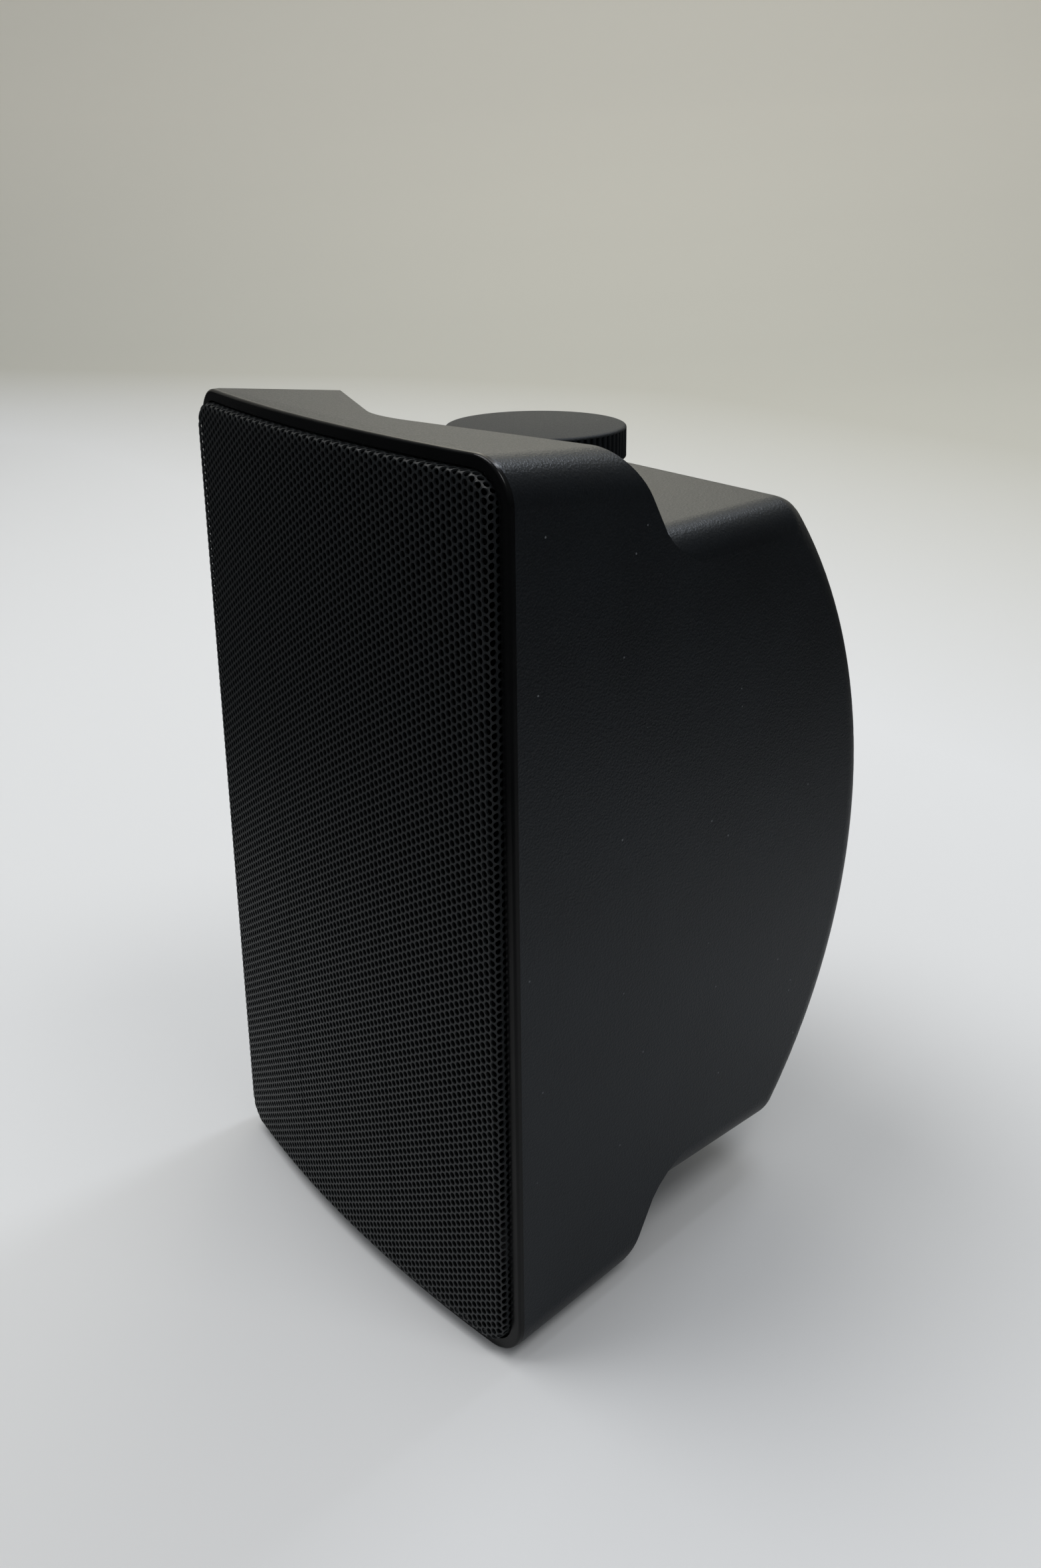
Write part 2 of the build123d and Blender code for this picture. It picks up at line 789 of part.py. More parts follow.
with BuildPart() as tweeter_coil_winding:
    add(
        ring(
            tweeter_height,
            dome_at + dome_sheet,
            dome_at + dome_sheet + tweeter_coil_length,
            tweeter_coil - tweeter_winding,
            tweeter_coil,
        )
    )
tweeter_coil_winding.part.label = "tweeter_coil"
export_step(tweeter_coil_winding.part, "parts/tweeter_coil.step")

with BuildPart() as tweeter_top_plate:
    gap_radius = tweeter_coil + tweeter_gap
    add(ring(tweeter_height, baffle_depth, tweeter_magnet_at, gap_radius, tweeter_plate_radius))
tweeter_top_plate.part.label = "tweeter_top_plate"
export_step(tweeter_top_plate.part, "parts/tweeter_top_plate.step")

with BuildPart() as tweeter_magnet:
    add(
        ring(
            tweeter_height,
            tweeter_magnet_at,
            tweeter_yoke_at,
            tweeter_magnet_bore,
            tweeter_magnet_radius,
        )
    )
tweeter_magnet.part.label = "tweeter_magnet"
export_step(tweeter_magnet.part, "parts/tweeter_magnet.step")

with BuildPart() as tweeter_yoke:
    tweeter_back = tweeter_yoke_at + tweeter_plate_thick
    add(ring(tweeter_height, tweeter_yoke_at, tweeter_back, 0, tweeter_plate_radius))
    add(ring(tweeter_height, baffle_depth, tweeter_yoke_at, 0, tweeter_pole))
tweeter_yoke.part.label = "tweeter_yoke"
export_step(tweeter_yoke.part, "parts/tweeter_yoke.step")

with BuildPart() as tweeter_screws:
    add(screws(rim_y + face_at, screw_length, tweeter_screw_places))
tweeter_screws.part.label = "tweeter_screws"
export_step(tweeter_screws.part, "parts/tweeter_screws.step")

with BuildPart() as terminal_block:
    with BuildSketch(facing(pocket_y)):
        Rectangle(block_width, block_height)
    extrude(amount=-block_depth)
    with BuildSketch(facing(block_y)):
        with spots([(x, mid_z) for x in lever_places]):
            Rectangle(lever_width + 2 * lever_side_gap, lever_length + 2 * lever_end_gap)
    extrude(amount=lever_recess, mode=Mode.SUBTRACT)
    with BuildSketch(Plane(origin=(0, pivot_y, mid_z + pivot_z), z_dir=(1, 0, 0))):
        Circle(pivot_radius + pivot_gap)
    pivot_reach = (lever_pitch + lever_width) / 2 + pivot_length + screw_gap
    extrude(amount=pivot_reach, both=True, mode=Mode.SUBTRACT)
    with BuildSketch(facing(block_y)):
        with spots([(x, mid_z - wire_drop) for x in lever_places]):
            Circle(wire_hole)
    extrude(amount=lever_recess, mode=Mode.SUBTRACT)
    with BuildSketch(facing(block_y)):
        with spots(block_screw_places):
            Circle(screw_bore)
    extrude(amount=block_depth, mode=Mode.SUBTRACT)
    with BuildSketch(facing(pocket_y)):
        with spots([(x, mid_z + contact_z) for x in lever_places]):
            Rectangle(contact_width, contact_thick)
    extrude(amount=-lever_recess, mode=Mode.SUBTRACT)
terminal_block.part.label = "terminal_block"
export_step(terminal_block.part, "parts/terminal_block.step")

with BuildPart() as lever_red:
    add(lever(lever_places[0]))
lever_red.part.label = "lever_red"
export_step(lever_red.part, "parts/lever_red.step")

with BuildPart() as lever_black:
    add(lever(lever_places[1]))
lever_black.part.label = "lever_black"
export_step(lever_black.part, "parts/lever_black.step")

with BuildPart() as terminal_contacts:
    with BuildSketch(facing(pocket_y + lever_recess)):
        with spots([(x, mid_z + contact_z) for x in lever_places]):
            Rectangle(contact_width, contact_thick)
    extrude(amount=contact_length)
terminal_contacts.part.label = "terminal_contacts"
export_step(terminal_contacts.part, "parts/terminal_contacts.step")

with BuildPart() as terminal_screws:
    add(screws(block_y, screw_length, block_screw_places, side=-1))
terminal_screws.part.label = "terminal_screws"
export_step(terminal_screws.part, "parts/terminal_screws.step")

with BuildPart() as crossover_board:
    with BuildSketch(facing(board_y)):
        Rectangle(board_width, board_height)
        with spots(board_screw_places):
            Circle(screw_bore, mode=Mode.SUBTRACT)
    extrude(amount=board_thick)
crossover_board.part.label = "crossover_board"
export_step(crossover_board.part, "parts/crossover_board.step")

with BuildPart() as board_screws:
    add(screws(board_front_y, short_screw, board_screw_places))
board_screws.part.label = "board_screws"
export_step(board_screws.part, "parts/board_screws.step")

with BuildPart() as inductor_bobbin:
    for start, length, radius in (
        (0, bobbin_flange, bobbin_radius),
        (0, bobbin_length, bobbin_core),
        (bobbin_length - bobbin_flange, bobbin_flange, bobbin_radius),
    ):
        with BuildSketch(facing(board_front_y - start)):
            with Locations((bobbin_x, 0)):
                Circle(radius)
        extrude(amount=length)
inductor_bobbin.part.label = "inductor_bobbin"
export_step(inductor_bobbin.part, "parts/inductor_bobbin.step")

with BuildPart() as inductor_winding:
    with BuildSketch(facing(board_front_y - bobbin_flange)):
        with Locations((bobbin_x, 0)):
            Circle(bobbin_radius - bobbin_flange)
            Circle(bobbin_core, mode=Mode.SUBTRACT)
    extrude(amount=bobbin_length - 2 * bobbin_flange)
inductor_winding.part.label = "inductor_winding"
export_step(inductor_winding.part, "parts/inductor_winding.step")

with BuildPart() as capacitors:
    capacitor_y = board_front_y - capacitor_radius
    with BuildSketch(Plane(origin=(part_x, capacitor_y, mid_z), x_dir=(0, 1, 0), z_dir=(1, 0, 0))):
        with Locations((0, 0), (0, capacitor_pitch)):
            Circle(capacitor_radius)
    extrude(amount=capacitor_length / 2, both=True)
capacitors.part.label = "capacitors"
export_step(capacitors.part, "parts/capacitors.step")

with BuildPart() as resistor:
    with BuildSketch(facing(board_front_y)):
        with Locations((part_x, -capacitor_pitch)):
            Rectangle(capacitor_length, resistor_height)
    extrude(amount=resistor_height)
resistor.part.label = "resistor"
export_step(resistor.part, "parts/resistor.step")

with BuildPart() as upper_knob:
    add(knob(1))
upper_knob.part.label = "upper_knob"
export_step(upper_knob.part, "parts/upper_knob.step")

with BuildPart() as upper_stud:
    add(stack(1, boss_height - stud_reach, hub_rise + stud_grip, 0, stud_radius))
upper_stud.part.label = "upper_stud"
export_step(upper_stud.part, "parts/upper_stud.step")

with BuildPart() as upper_washer:
    add(stack(1, boss_height, hub_rise, stud_radius + screw_gap, washer_radius))
upper_washer.part.label = "upper_washer"
export_step(upper_washer.part, "parts/upper_washer.step")

with BuildPart() as upper_insert:
    add(stack(1, boss_height - insert_length, boss_height, stud_radius + thread_gap, insert_radius))
upper_insert.part.label = "upper_insert"
export_step(upper_insert.part, "parts/upper_insert.step")

with BuildPart() as lower_knob:
    add(knob(-1))
lower_knob.part.label = "lower_knob"
export_step(lower_knob.part, "parts/lower_knob.step")

with BuildPart() as lower_stud:
    add(stack(-1, boss_height - stud_reach, hub_rise + stud_grip, 0, stud_radius))
lower_stud.part.label = "lower_stud"
export_step(lower_stud.part, "parts/lower_stud.step")

with BuildPart() as lower_washer:
    add(stack(-1, boss_height, hub_rise, stud_radius + screw_gap, washer_radius))
lower_washer.part.label = "lower_washer"
export_step(lower_washer.part, "parts/lower_washer.step")

with BuildPart() as lower_insert:
    add(stack(-1, boss_height - insert_length, boss_height, stud_radius + thread_gap, insert_radius))
lower_insert.part.label = "lower_insert"
export_step(lower_insert.part, "parts/lower_insert.step")
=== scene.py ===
# %% [markdown]
# # An outdoor patio speaker
#
# The real thing is a black moulded cabinet with a perforated steel grille, made to hang in a
# U bracket between two large clamp knobs. The solids come from the CAD model, so this lesson
# starts from them and adds what solids can't carry: the fine perforation, the grain of the
# moulding, the fine ribs of the knobs, the rubber rings cut into sectors, and the light.

# %% Load the frame
import json
from math import cos, pi, radians, sin, sqrt, tan

import bmesh
import bpy
from mathutils import Matrix, Vector


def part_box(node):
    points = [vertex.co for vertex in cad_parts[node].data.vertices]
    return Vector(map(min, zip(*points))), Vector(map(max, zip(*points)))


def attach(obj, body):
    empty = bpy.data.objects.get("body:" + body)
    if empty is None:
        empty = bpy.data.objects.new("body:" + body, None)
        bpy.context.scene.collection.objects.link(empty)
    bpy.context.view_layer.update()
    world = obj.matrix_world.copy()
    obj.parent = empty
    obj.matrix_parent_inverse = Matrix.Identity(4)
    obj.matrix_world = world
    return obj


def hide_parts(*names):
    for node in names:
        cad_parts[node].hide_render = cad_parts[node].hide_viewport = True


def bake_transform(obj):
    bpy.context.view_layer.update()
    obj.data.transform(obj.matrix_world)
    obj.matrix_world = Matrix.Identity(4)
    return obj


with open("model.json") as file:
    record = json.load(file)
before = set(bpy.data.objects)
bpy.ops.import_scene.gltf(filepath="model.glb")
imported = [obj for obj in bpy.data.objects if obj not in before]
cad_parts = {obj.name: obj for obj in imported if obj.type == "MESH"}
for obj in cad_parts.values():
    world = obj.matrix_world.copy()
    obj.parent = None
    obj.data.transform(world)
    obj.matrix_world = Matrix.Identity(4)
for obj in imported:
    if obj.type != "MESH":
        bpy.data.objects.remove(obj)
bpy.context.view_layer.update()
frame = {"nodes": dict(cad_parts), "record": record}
scene = bpy.context.scene
MM = 0.001
bodies = frame["record"]["behaviour"]["bodies"]
body_of = {node: body for body, nodes in bodies.items() for node in nodes}
slot_of = {row["node"]: row["material_slot"] for row in frame["record"]["subparts"]}
print("nodes", len(frame["nodes"]))

# %% [markdown]
# The sizes below are those of the cabinet's front. The grille is fitted to them, so they are
# written once here, in metres. The sheet's edge lies a little inside the rim, and the flat part
# of it ends where the bend starts. The speaker leans back on its lower face, which starts at
# the rim's lip.

# %% Sizes of the front
MID_Z = 125.0 * MM
FRONT_Y = -79.8 * MM
RIM_Y = -71.0 * MM
LIP_Y = RIM_Y + 1.6 * MM
HALF_WIDTH = 78.25 * MM
HALF_HEIGHT = 125.0 * MM
BOW = 6.0 * MM
GRILLE_PROUD = 2.8 * MM
GRILLE_INSET = 3.8 * MM
BEND = 1.3 * MM
RIM_CORNER = 11.9 * MM
FLAT_HALF_WIDTH = HALF_WIDTH - GRILLE_INSET - BEND
FLAT_HALF_HEIGHT = HALF_HEIGHT - GRILLE_INSET - BEND
BOW_RADIUS = (HALF_WIDTH**2 + BOW**2) / (2 * BOW)
BOW_CENTER = FRONT_Y + GRILLE_PROUD + BOW_RADIUS
LEAN = tan(radians(5.1))
print("bow radius", round(BOW_RADIUS, 4), "m")

# %% [markdown]
# Three small tools serve the whole file. `colour` turns the sRGB hex value that one reads off a
# paint card into the linear numbers that a shader needs. `add` puts one node into a tree, with
# its settings, its plain values and its links. `finish` opens a new material. In a Mix node for
# colours, inputs 6 and 7 are the two colours and output 2 is the result.


# %% Tools for colours and nodes
def colour(hex_code):
    channels = [int(hex_code[i : i + 2], 16) / 255 for i in (1, 3, 5)]
    linear = [c / 12.92 if c <= 0.04045 else ((c + 0.055) / 1.055) ** 2.4 for c in channels]
    return (*linear, 1.0)


def add(tree, kind, values=None, **settings):
    node = tree.nodes.new(kind)
    for name, value in settings.items():
        setattr(node, name, value)
    for key, value in (values or {}).items():
        if isinstance(value, bpy.types.NodeSocket):
            tree.links.new(value, node.inputs[key])
        else:
            node.inputs[key].default_value = value
    return node


def finish(name):
    """A new material with its shader and Object coordinates."""
    material = bpy.data.materials.new(name)
    material.use_nodes = True
    tree = material.node_tree
    shader = tree.nodes["Principled BSDF"]
    spot = add(tree, "ShaderNodeTexCoord").outputs["Object"]
    return material, tree, shader, spot


print("tools ready")

# %% [markdown]
# ## Camera
#
# The photograph was taken from the right, a little above. The camera's place and turn were
# found by matching the outline of the cabinet, and the lens follows from them for a frame of
# 1568 by 2362 pixels. Blender measures the sensor along the longer side.

# %% Camera
FOCAL_PX = 2444.17
FRAME_PX = 2362
FROM_RIM = Vector((371.39, -207.74, 315.01)) * MM
yaw, pitch, roll = radians(54.3765), radians(21.5675), radians(0.6434)
forward = Vector((-sin(yaw) * cos(pitch), cos(yaw) * cos(pitch), -sin(pitch)))
level = Vector((cos(yaw), sin(yaw), 0))
down = forward.cross(level)
right = cos(roll) * level + sin(roll) * down
up = sin(roll) * level - cos(roll) * down
lens = bpy.data.cameras.new("camera")
lens.sensor_width = 36
lens.lens = FOCAL_PX / FRAME_PX * lens.sensor_width
lens.clip_start = 0.01
camera = bpy.data.objects.new("camera", lens)
turn = Matrix((right, up, -forward)).transposed()
camera.matrix_world = Matrix.Translation(FROM_RIM + Vector((0, RIM_Y, 0))) @ turn.to_4x4()
scene.collection.objects.link(camera)
scene.camera = camera
print("lens", round(lens.lens, 2), "mm")

# %% [markdown]
# ## Floor
#
# The floor follows the slope on which the speaker leans back. It is one pale sheet of paper
# that runs up behind the speaker, as in a plain studio. A modelled wall would show a corner, so
# a flat run, a quarter circle and an upright make the profile, which is drawn out sideways.

# %% Sweep of paper
SWEEP_START = -8.0
SWEEP_BEND = 1.2
SWEEP_RADIUS = 0.8
SWEEP_TOP = 3.0
SWEEP_HALF_WIDTH = 9.0
profile = [(SWEEP_START, 0.0), (SWEEP_BEND, 0.0)]
for degrees in range(10, 91, 10):
    run = SWEEP_BEND + SWEEP_RADIUS * sin(radians(degrees))
    profile.append((run, SWEEP_RADIUS - SWEEP_RADIUS * cos(radians(degrees))))
profile.append((SWEEP_BEND + SWEEP_RADIUS, SWEEP_TOP))
along = Vector((-sin(yaw), cos(yaw), 0))
sheet = bmesh.new()
rows = []
for run, rise in profile:
    row = []
    for side in (-SWEEP_HALF_WIDTH, SWEEP_HALF_WIDTH):
        point = along * run + level * side
        row.append(sheet.verts.new((point.x, point.y, rise + (point.y - LIP_Y) * LEAN)))
    rows.append(row)
for low, high in zip(rows, rows[1:]):
    sheet.faces.new((low[0], low[1], high[1], high[0])).smooth = True
floor_mesh = bpy.data.meshes.new("studio_sweep")
sheet.to_mesh(floor_mesh)
sheet.free()
floor = bpy.data.objects.new("studio_sweep", floor_mesh)
scene.collection.objects.link(floor)
print("sweep faces", len(floor_mesh.polygons))

# %% [markdown]
# The paper is matt. Where it rises it is painted greyer and a little warmer, a painted shade,
# and higher up it is painted lighter again, a painted light. Its far edges fade into the room,
# so that no view meets a hard edge. The black plastic mirrors the pale paper only near its
# foot, and the dark of the room beyond, so a glossy ray finds the paper darker with distance,
# except where it rises behind the speaker.

# %% Paper: matt, uncoated
# Map Range inputs: 1 and 2 are the ends of the range in metres, 3 and 4 the values at them,
# which are 0 and 1 where nothing else is set.
# Painted shade and painted light on the paper: over the first rise in metres it is painted greyer,
# over the second lighter again.
PAINTED_SHADE_RISE = {1: 0.035, 2: 0.08}
PAINTED_LIGHT_RISE = {1: 0.1, 2: 0.35}
RISES = {1: 0.1, 2: 0.4}
ROOM_DARKENS = {1: 0.11, 2: 0.52, 3: 0.35, 4: 0.96}
EDGE_FADES = {1: 2.2, 2: 4.5, 3: 1.0, 4: 0.0}
material, tree, shader, spot = finish("matt_studio_paper")
plan = add(tree, "ShaderNodeVectorMath", {0: spot, 1: (1, 1, 0)}, operation="MULTIPLY").outputs[0]
away = add(tree, "ShaderNodeVectorMath", {0: plan}, operation="LENGTH").outputs["Value"]
rise = add(tree, "ShaderNodeSeparateXYZ", {0: spot}).outputs["Z"]
# The upright is painted lighter towards the top (painted light), and the paper greyer where it
# rises (painted shade).
painted_light_up = add(tree, "ShaderNodeMapRange", {0: rise, **PAINTED_LIGHT_RISE}).outputs[0]
wall_tones = {0: painted_light_up, 6: colour("#c9c8bf"), 7: colour("#d8d5ca")}
wall = add(tree, "ShaderNodeMix", wall_tones, data_type="RGBA").outputs[2]
painted_shade_up = add(tree, "ShaderNodeMapRange", {0: rise, **PAINTED_SHADE_RISE}).outputs[0]
tones = {0: painted_shade_up, 6: colour("#eaebec"), 7: wall}
paper = add(tree, "ShaderNodeMix", tones, data_type="RGBA").outputs[2]
risen = add(tree, "ShaderNodeMapRange", {0: rise, **RISES}).outputs[0]
flat = add(tree, "ShaderNodeMath", {0: 1.0, 1: risen}, operation="SUBTRACT").outputs[0]
far = add(tree, "ShaderNodeMapRange", {0: away, **ROOM_DARKENS}).outputs[0]
dark = add(tree, "ShaderNodeMath", {0: far, 1: flat}, operation="MULTIPLY").outputs[0]
glossy = add(tree, "ShaderNodeLightPath").outputs["Is Glossy Ray"]
mirrored = add(tree, "ShaderNodeMath", {0: dark, 1: glossy}, operation="MULTIPLY").outputs[0]
seen_tones = {0: mirrored, 6: paper, 7: colour("#151617")}
seen = add(tree, "ShaderNodeMix", seen_tones, data_type="RGBA").outputs[2]
tree.links.new(seen, shader.inputs["Base Color"])
fade = {0: away, **EDGE_FADES}
kept = add(tree, "ShaderNodeMapRange", fade, interpolation_type="SMOOTHSTEP").outputs[0]
tree.links.new(kept, shader.inputs["Alpha"])
shader.inputs["Roughness"].default_value = 0.9
shader.inputs["Specular IOR Level"].default_value = 0.2
floor_mesh.materials.append(material)
print("paper", material.name)

# %% [markdown]
# ## Light
#
# Two soft boxes overhead make the light: bright from above, dark at the sides, as in a plain
# studio. One box at the back lights the top faces, a small one draws the fine bright line along
# the rounded edges, and the last one washes the paper behind.

# %% Soft boxes
# Name, place, aim and diameter in metres, power in watts, and tint.
SOFT_BOXES = (
    ("left_soft_box", (-0.55, -0.40, 1.65), (0, 0, 0), 1.1, 11, "#ffffff"),
    ("right_soft_box", (0.80, 0.10, 1.50), (0, 0, 0), 0.6, 4, "#ffffff"),
    ("back_soft_box", (-1.15, 0.85, 1.0), (0, 0, 0.22), 0.8, 1.5, "#f8f3e2"),
    ("edge_soft_box", (-0.12, 0.80, 1.40), (0, 0, 0.22), 0.3, 2.8, "#f2f7ff"),
    ("wall_wash", (-0.6, 0.9, 1.6), (-0.9, 1.5, 0.5), 1.0, 4, "#ffffff"),
)
for name, stand, aim, size, watts, tint in SOFT_BOXES:
    lamp = bpy.data.lights.new(name, "AREA")
    lamp.color = colour(tint)[:3]
    lamp.shape = "DISK"
    lamp.size = size
    lamp.energy = watts
    light = bpy.data.objects.new(name, lamp)
    light.location = stand
    light.rotation_euler = (Vector(aim) - Vector(stand)).to_track_quat("-Z", "Y").to_euler()
    light.visible_camera = False
    scene.collection.objects.link(light)
print("lamps", len(bpy.data.lights))

# %% [markdown]
# The room itself is an even, soft grey from the horizon up. In gloss it is nearly black, as a
# room with dark walls is, because black plastic looks black only where it mirrors the dark.

# %% Room
# Map Range inputs: 3 is the strength for other rays, 4 the one for glossy rays. A direction
# whose height reaches OVERHEAD has the zenith's strength.
HORIZON = {3: 0.42, 4: 0.02}
ZENITH = {3: 0.36, 4: 0.14}
OVERHEAD = 0.8
world = bpy.data.worlds.new("studio_room")
world.use_nodes = True
scene.world = world
tree = world.node_tree
direction = add(tree, "ShaderNodeTexCoord").outputs["Generated"]
height = add(tree, "ShaderNodeSeparateXYZ", {0: direction}).outputs["Z"]
glossy = add(tree, "ShaderNodeLightPath").outputs["Is Glossy Ray"]
horizon = add(tree, "ShaderNodeMapRange", {0: glossy, **HORIZON}).outputs[0]
zenith = add(tree, "ShaderNodeMapRange", {0: glossy, **ZENITH}).outputs[0]
climb = {0: height, 1: 0.0, 2: OVERHEAD, 3: horizon, 4: zenith}
strength = add(tree, "ShaderNodeMapRange", climb).outputs[0]
tree.links.new(strength, tree.nodes["Background"].inputs["Strength"])
tree.nodes["Background"].inputs["Color"].default_value = colour("#f4f6f8")
scene.view_settings.view_transform = "Standard"
print("room", world.name)

# %% [markdown]
# ## Finishes
#
# Each finish starts from the real material. Black plastic is never one flat tone: the mould's
# grain breaks up the sheen, the rounded edges catch the soft box as fine sparkle, and a few
# specks of dust lie on it. Noise makes the grain and a coarser Voronoi its pebbles. A second
# Voronoi with wide cells drops a speck in some of them.


# %% Cabinet and knobs: ABS, moulded against a fine leather grain
# The eye sees a soft sheen that breaks into tiny pebbles. The grain is about 0.3 mm on the real
# cabinet, and is drawn at 0.45 mm so that it shows. The radius of a dust speck is a share of
# the distance between specks, and a cell has one if its lot, from 0 to 1, is above DUST_LOT.
CLOUD_MM = 35
PEBBLE_SHARE = 1.6
DUST_APART_MM = 6
DUST_RADIUS = 0.05
DUST_LOT = 0.66
GRAIN_SWING = 0.06


def grained_plastic(name, dark, pale, roughness, grain_mm, depth_mm):
    material, tree, shader, spot = finish(name)
    cloud_sizes = {"Vector": spot, "Scale": 1 / (CLOUD_MM * MM), "Detail": 3.0}
    clouds = add(tree, "ShaderNodeTexNoise", cloud_sizes).outputs[0]
    grain_sizes = {"Vector": spot, "Scale": 1 / (grain_mm * MM), "Detail": 2.0, "Roughness": 0.6}
    grain = add(tree, "ShaderNodeTexNoise", grain_sizes).outputs[0]
    pebble_sizes = {"Vector": spot, "Scale": 1 / (PEBBLE_SHARE * grain_mm * MM)}
    pebble = add(tree, "ShaderNodeTexVoronoi", pebble_sizes).outputs[0]
    mottle = add(tree, "ShaderNodeMath", {0: clouds, 1: grain}, operation="MULTIPLY").outputs[0]
    spread = add(tree, "ShaderNodeMapRange", {0: mottle, 1: 0.15, 2: 0.4}).outputs[0]
    tones = {0: spread, 6: colour(dark), 7: colour(pale)}
    tone = add(tree, "ShaderNodeMix", tones, data_type="RGBA").outputs[2]
    dust_sizes = {"Vector": spot, "Scale": 1 / (DUST_APART_MM * MM)}
    cells = add(tree, "ShaderNodeTexVoronoi", dust_sizes).outputs
    disc = {0: cells[0], 1: DUST_RADIUS}
    near = add(tree, "ShaderNodeMath", disc, operation="LESS_THAN").outputs[0]
    lot = add(tree, "ShaderNodeSeparateColor", {0: cells[1]}).outputs[0]
    few = add(tree, "ShaderNodeMath", {0: lot, 1: DUST_LOT}, operation="GREATER_THAN").outputs[0]
    speck = add(tree, "ShaderNodeMath", {0: near, 1: few}, operation="MULTIPLY").outputs[0]
    dusty_tones = {0: speck, 6: tone, 7: colour("#54575a")}
    dusty = add(tree, "ShaderNodeMix", dusty_tones, data_type="RGBA").outputs[2]
    tree.links.new(dusty, shader.inputs["Base Color"])
    swing = {0: grain, 1: 0.3, 2: 0.7, 3: roughness - GRAIN_SWING, 4: roughness + GRAIN_SWING}
    rough = add(tree, "ShaderNodeMapRange", swing).outputs[0]
    tree.links.new(rough, shader.inputs["Roughness"])
    relief = add(tree, "ShaderNodeMath", {0: grain, 1: pebble}, operation="ADD").outputs[0]
    bump_sizes = {"Height": relief, "Distance": depth_mm * MM, "Strength": 1.0}
    bump = add(tree, "ShaderNodeBump", bump_sizes).outputs[0]
    tree.links.new(bump, shader.inputs["Normal"])
    shader.inputs["Specular Tint"].default_value = colour("#eef6ff")
    return material


cabinet_abs = grained_plastic("abs_moulded_leather_grain", "#0a0d10", "#101418", 0.37, 0.45, 0.05)
knob_abs = grained_plastic("abs_moulded_fine_matt", "#0d0f11", "#131618", 0.6, 0.4, 0.04)
print("grained plastics", cabinet_abs.name, knob_abs.name)

# %% [markdown]
# The other finishes are smoother. One noise, as wide as the unevenness of the real surface,
# sways the colour and the roughness a little and gives the relief where there is one.


# %% A smoother finish
SATIN_SWING = 0.05


def satin(name, dark, pale, roughness, pattern_mm, depth_mm=0.0, metallic=0.0, specular=0.5):
    material, tree, shader, spot = finish(name)
    ripple_sizes = {"Vector": spot, "Scale": 1 / (pattern_mm * MM), "Detail": 2.0}
    ripple = add(tree, "ShaderNodeTexNoise", ripple_sizes).outputs[0]
    tones = {0: ripple, 6: colour(dark), 7: colour(pale)}
    tone = add(tree, "ShaderNodeMix", tones, data_type="RGBA").outputs[2]
    tree.links.new(tone, shader.inputs["Base Color"])
    swing = {0: ripple, 1: 0.3, 2: 0.7, 3: roughness - SATIN_SWING, 4: roughness + SATIN_SWING}
    rough = add(tree, "ShaderNodeMapRange", swing).outputs[0]
    tree.links.new(rough, shader.inputs["Roughness"])
    if depth_mm:
        bump = add(tree, "ShaderNodeBump", {"Height": ripple, "Distance": depth_mm * MM}).outputs[0]
        tree.links.new(bump, shader.inputs["Normal"])
    shader.inputs["Metallic"].default_value = metallic
    shader.inputs["Specular IOR Level"].default_value = specular
    return material


# From a polished mould: deep black, with one soft streak of light along the rounded edge.
frame_abs = satin("abs_moulded_satin", "#050607", "#08090a", 0.22, 12, specular=0.3)
# Baked powder over punched steel: a thin grey-black skin with a slight orange peel.
grille_coat = satin("steel_powder_coated", "#1a1d1f", "#212426", 0.42, 0.6, 0.01)
# Thin woven cloth: it swallows the light, so that the holes look black.
scrim_cloth = satin("polyester_cloth_woven", "#030303", "#060606", 0.95, 0.5, 0.1, specular=0.1)
print("finishes of the front", frame_abs.name, grille_coat.name, scrim_cloth.name)

# %% [markdown]
# The terminal at the back is moulded too, with one red and one black lever. What is inside the
# cabinet can't be seen from outside, but it is dressed as well.

# %% Terminal, drivers and crossover
# Fine satin plastic, and levers with a soft shine.
block_abs = satin("abs_moulded_fine_satin", "#17181a", "#1e2022", 0.45, 2.0, 0.01)
red_abs = satin("abs_moulded_red", "#9b1414", "#a81a18", 0.35, 3.0, 0.01)
black_abs = satin("abs_moulded_black", "#131315", "#1a1a1c", 0.35, 3.0, 0.01)
# Open cells, dull all over.
foam = satin("foam_cut", "#181818", "#242424", 0.95, 0.8, 0.2)
# Pressed steel with a stoved black coat, and the dull soft black of rubber.
basket_coat = satin("steel_pressed_black", "#141416", "#1c1c1f", 0.4, 4)
butyl = satin("butyl_rubber_moulded", "#0f0f10", "#171718", 0.7, 3)
# Cone and dome: a waxy dark plastic, and silk with a coat that dulls it.
cone_poly = satin("polypropylene_moulded", "#16171a", "#202226", 0.45, 6, 0.02)
silk = satin("silk_coated", "#101012", "#19191b", 0.6, 0.4, 0.05)
# Cotton stiffened with resin: tan and quite matt.
spider_cloth = satin("cotton_resin_stiffened", "#a0803f", "#b59350", 0.85, 0.7, 0.1)
# Bare and plated metals, with fine rolling, drawing or plating marks in their shine.
foil = satin("aluminium_rolled", "#b9bbbd", "#c6c8ca", 0.3, 2, metallic=1.0)
copper = satin("copper_enamelled", "#8a4526", "#a4552f", 0.35, 0.6, 0.1, metallic=1.0)
zinc = satin("steel_zinc_plated", "#9a9da0", "#b0b3b6", 0.3, 1.5, 0.005, metallic=1.0)
black_oxide = satin("steel_black_oxide", "#1a1a1c", "#26262a", 0.4, 1.5, metallic=0.6)
brass = satin("brass_drawn", "#a98a45", "#bd9d55", 0.3, 1.5, metallic=1.0)
# Sintered and cast: charcoal ferrite and chalky cement.
ferrite = satin("ferrite_sintered", "#242426", "#303033", 0.6, 1.0, 0.05)
cement = satin("cement_cast", "#c9c4b8", "#d8d4ca", 0.9, 1.0, 0.05)
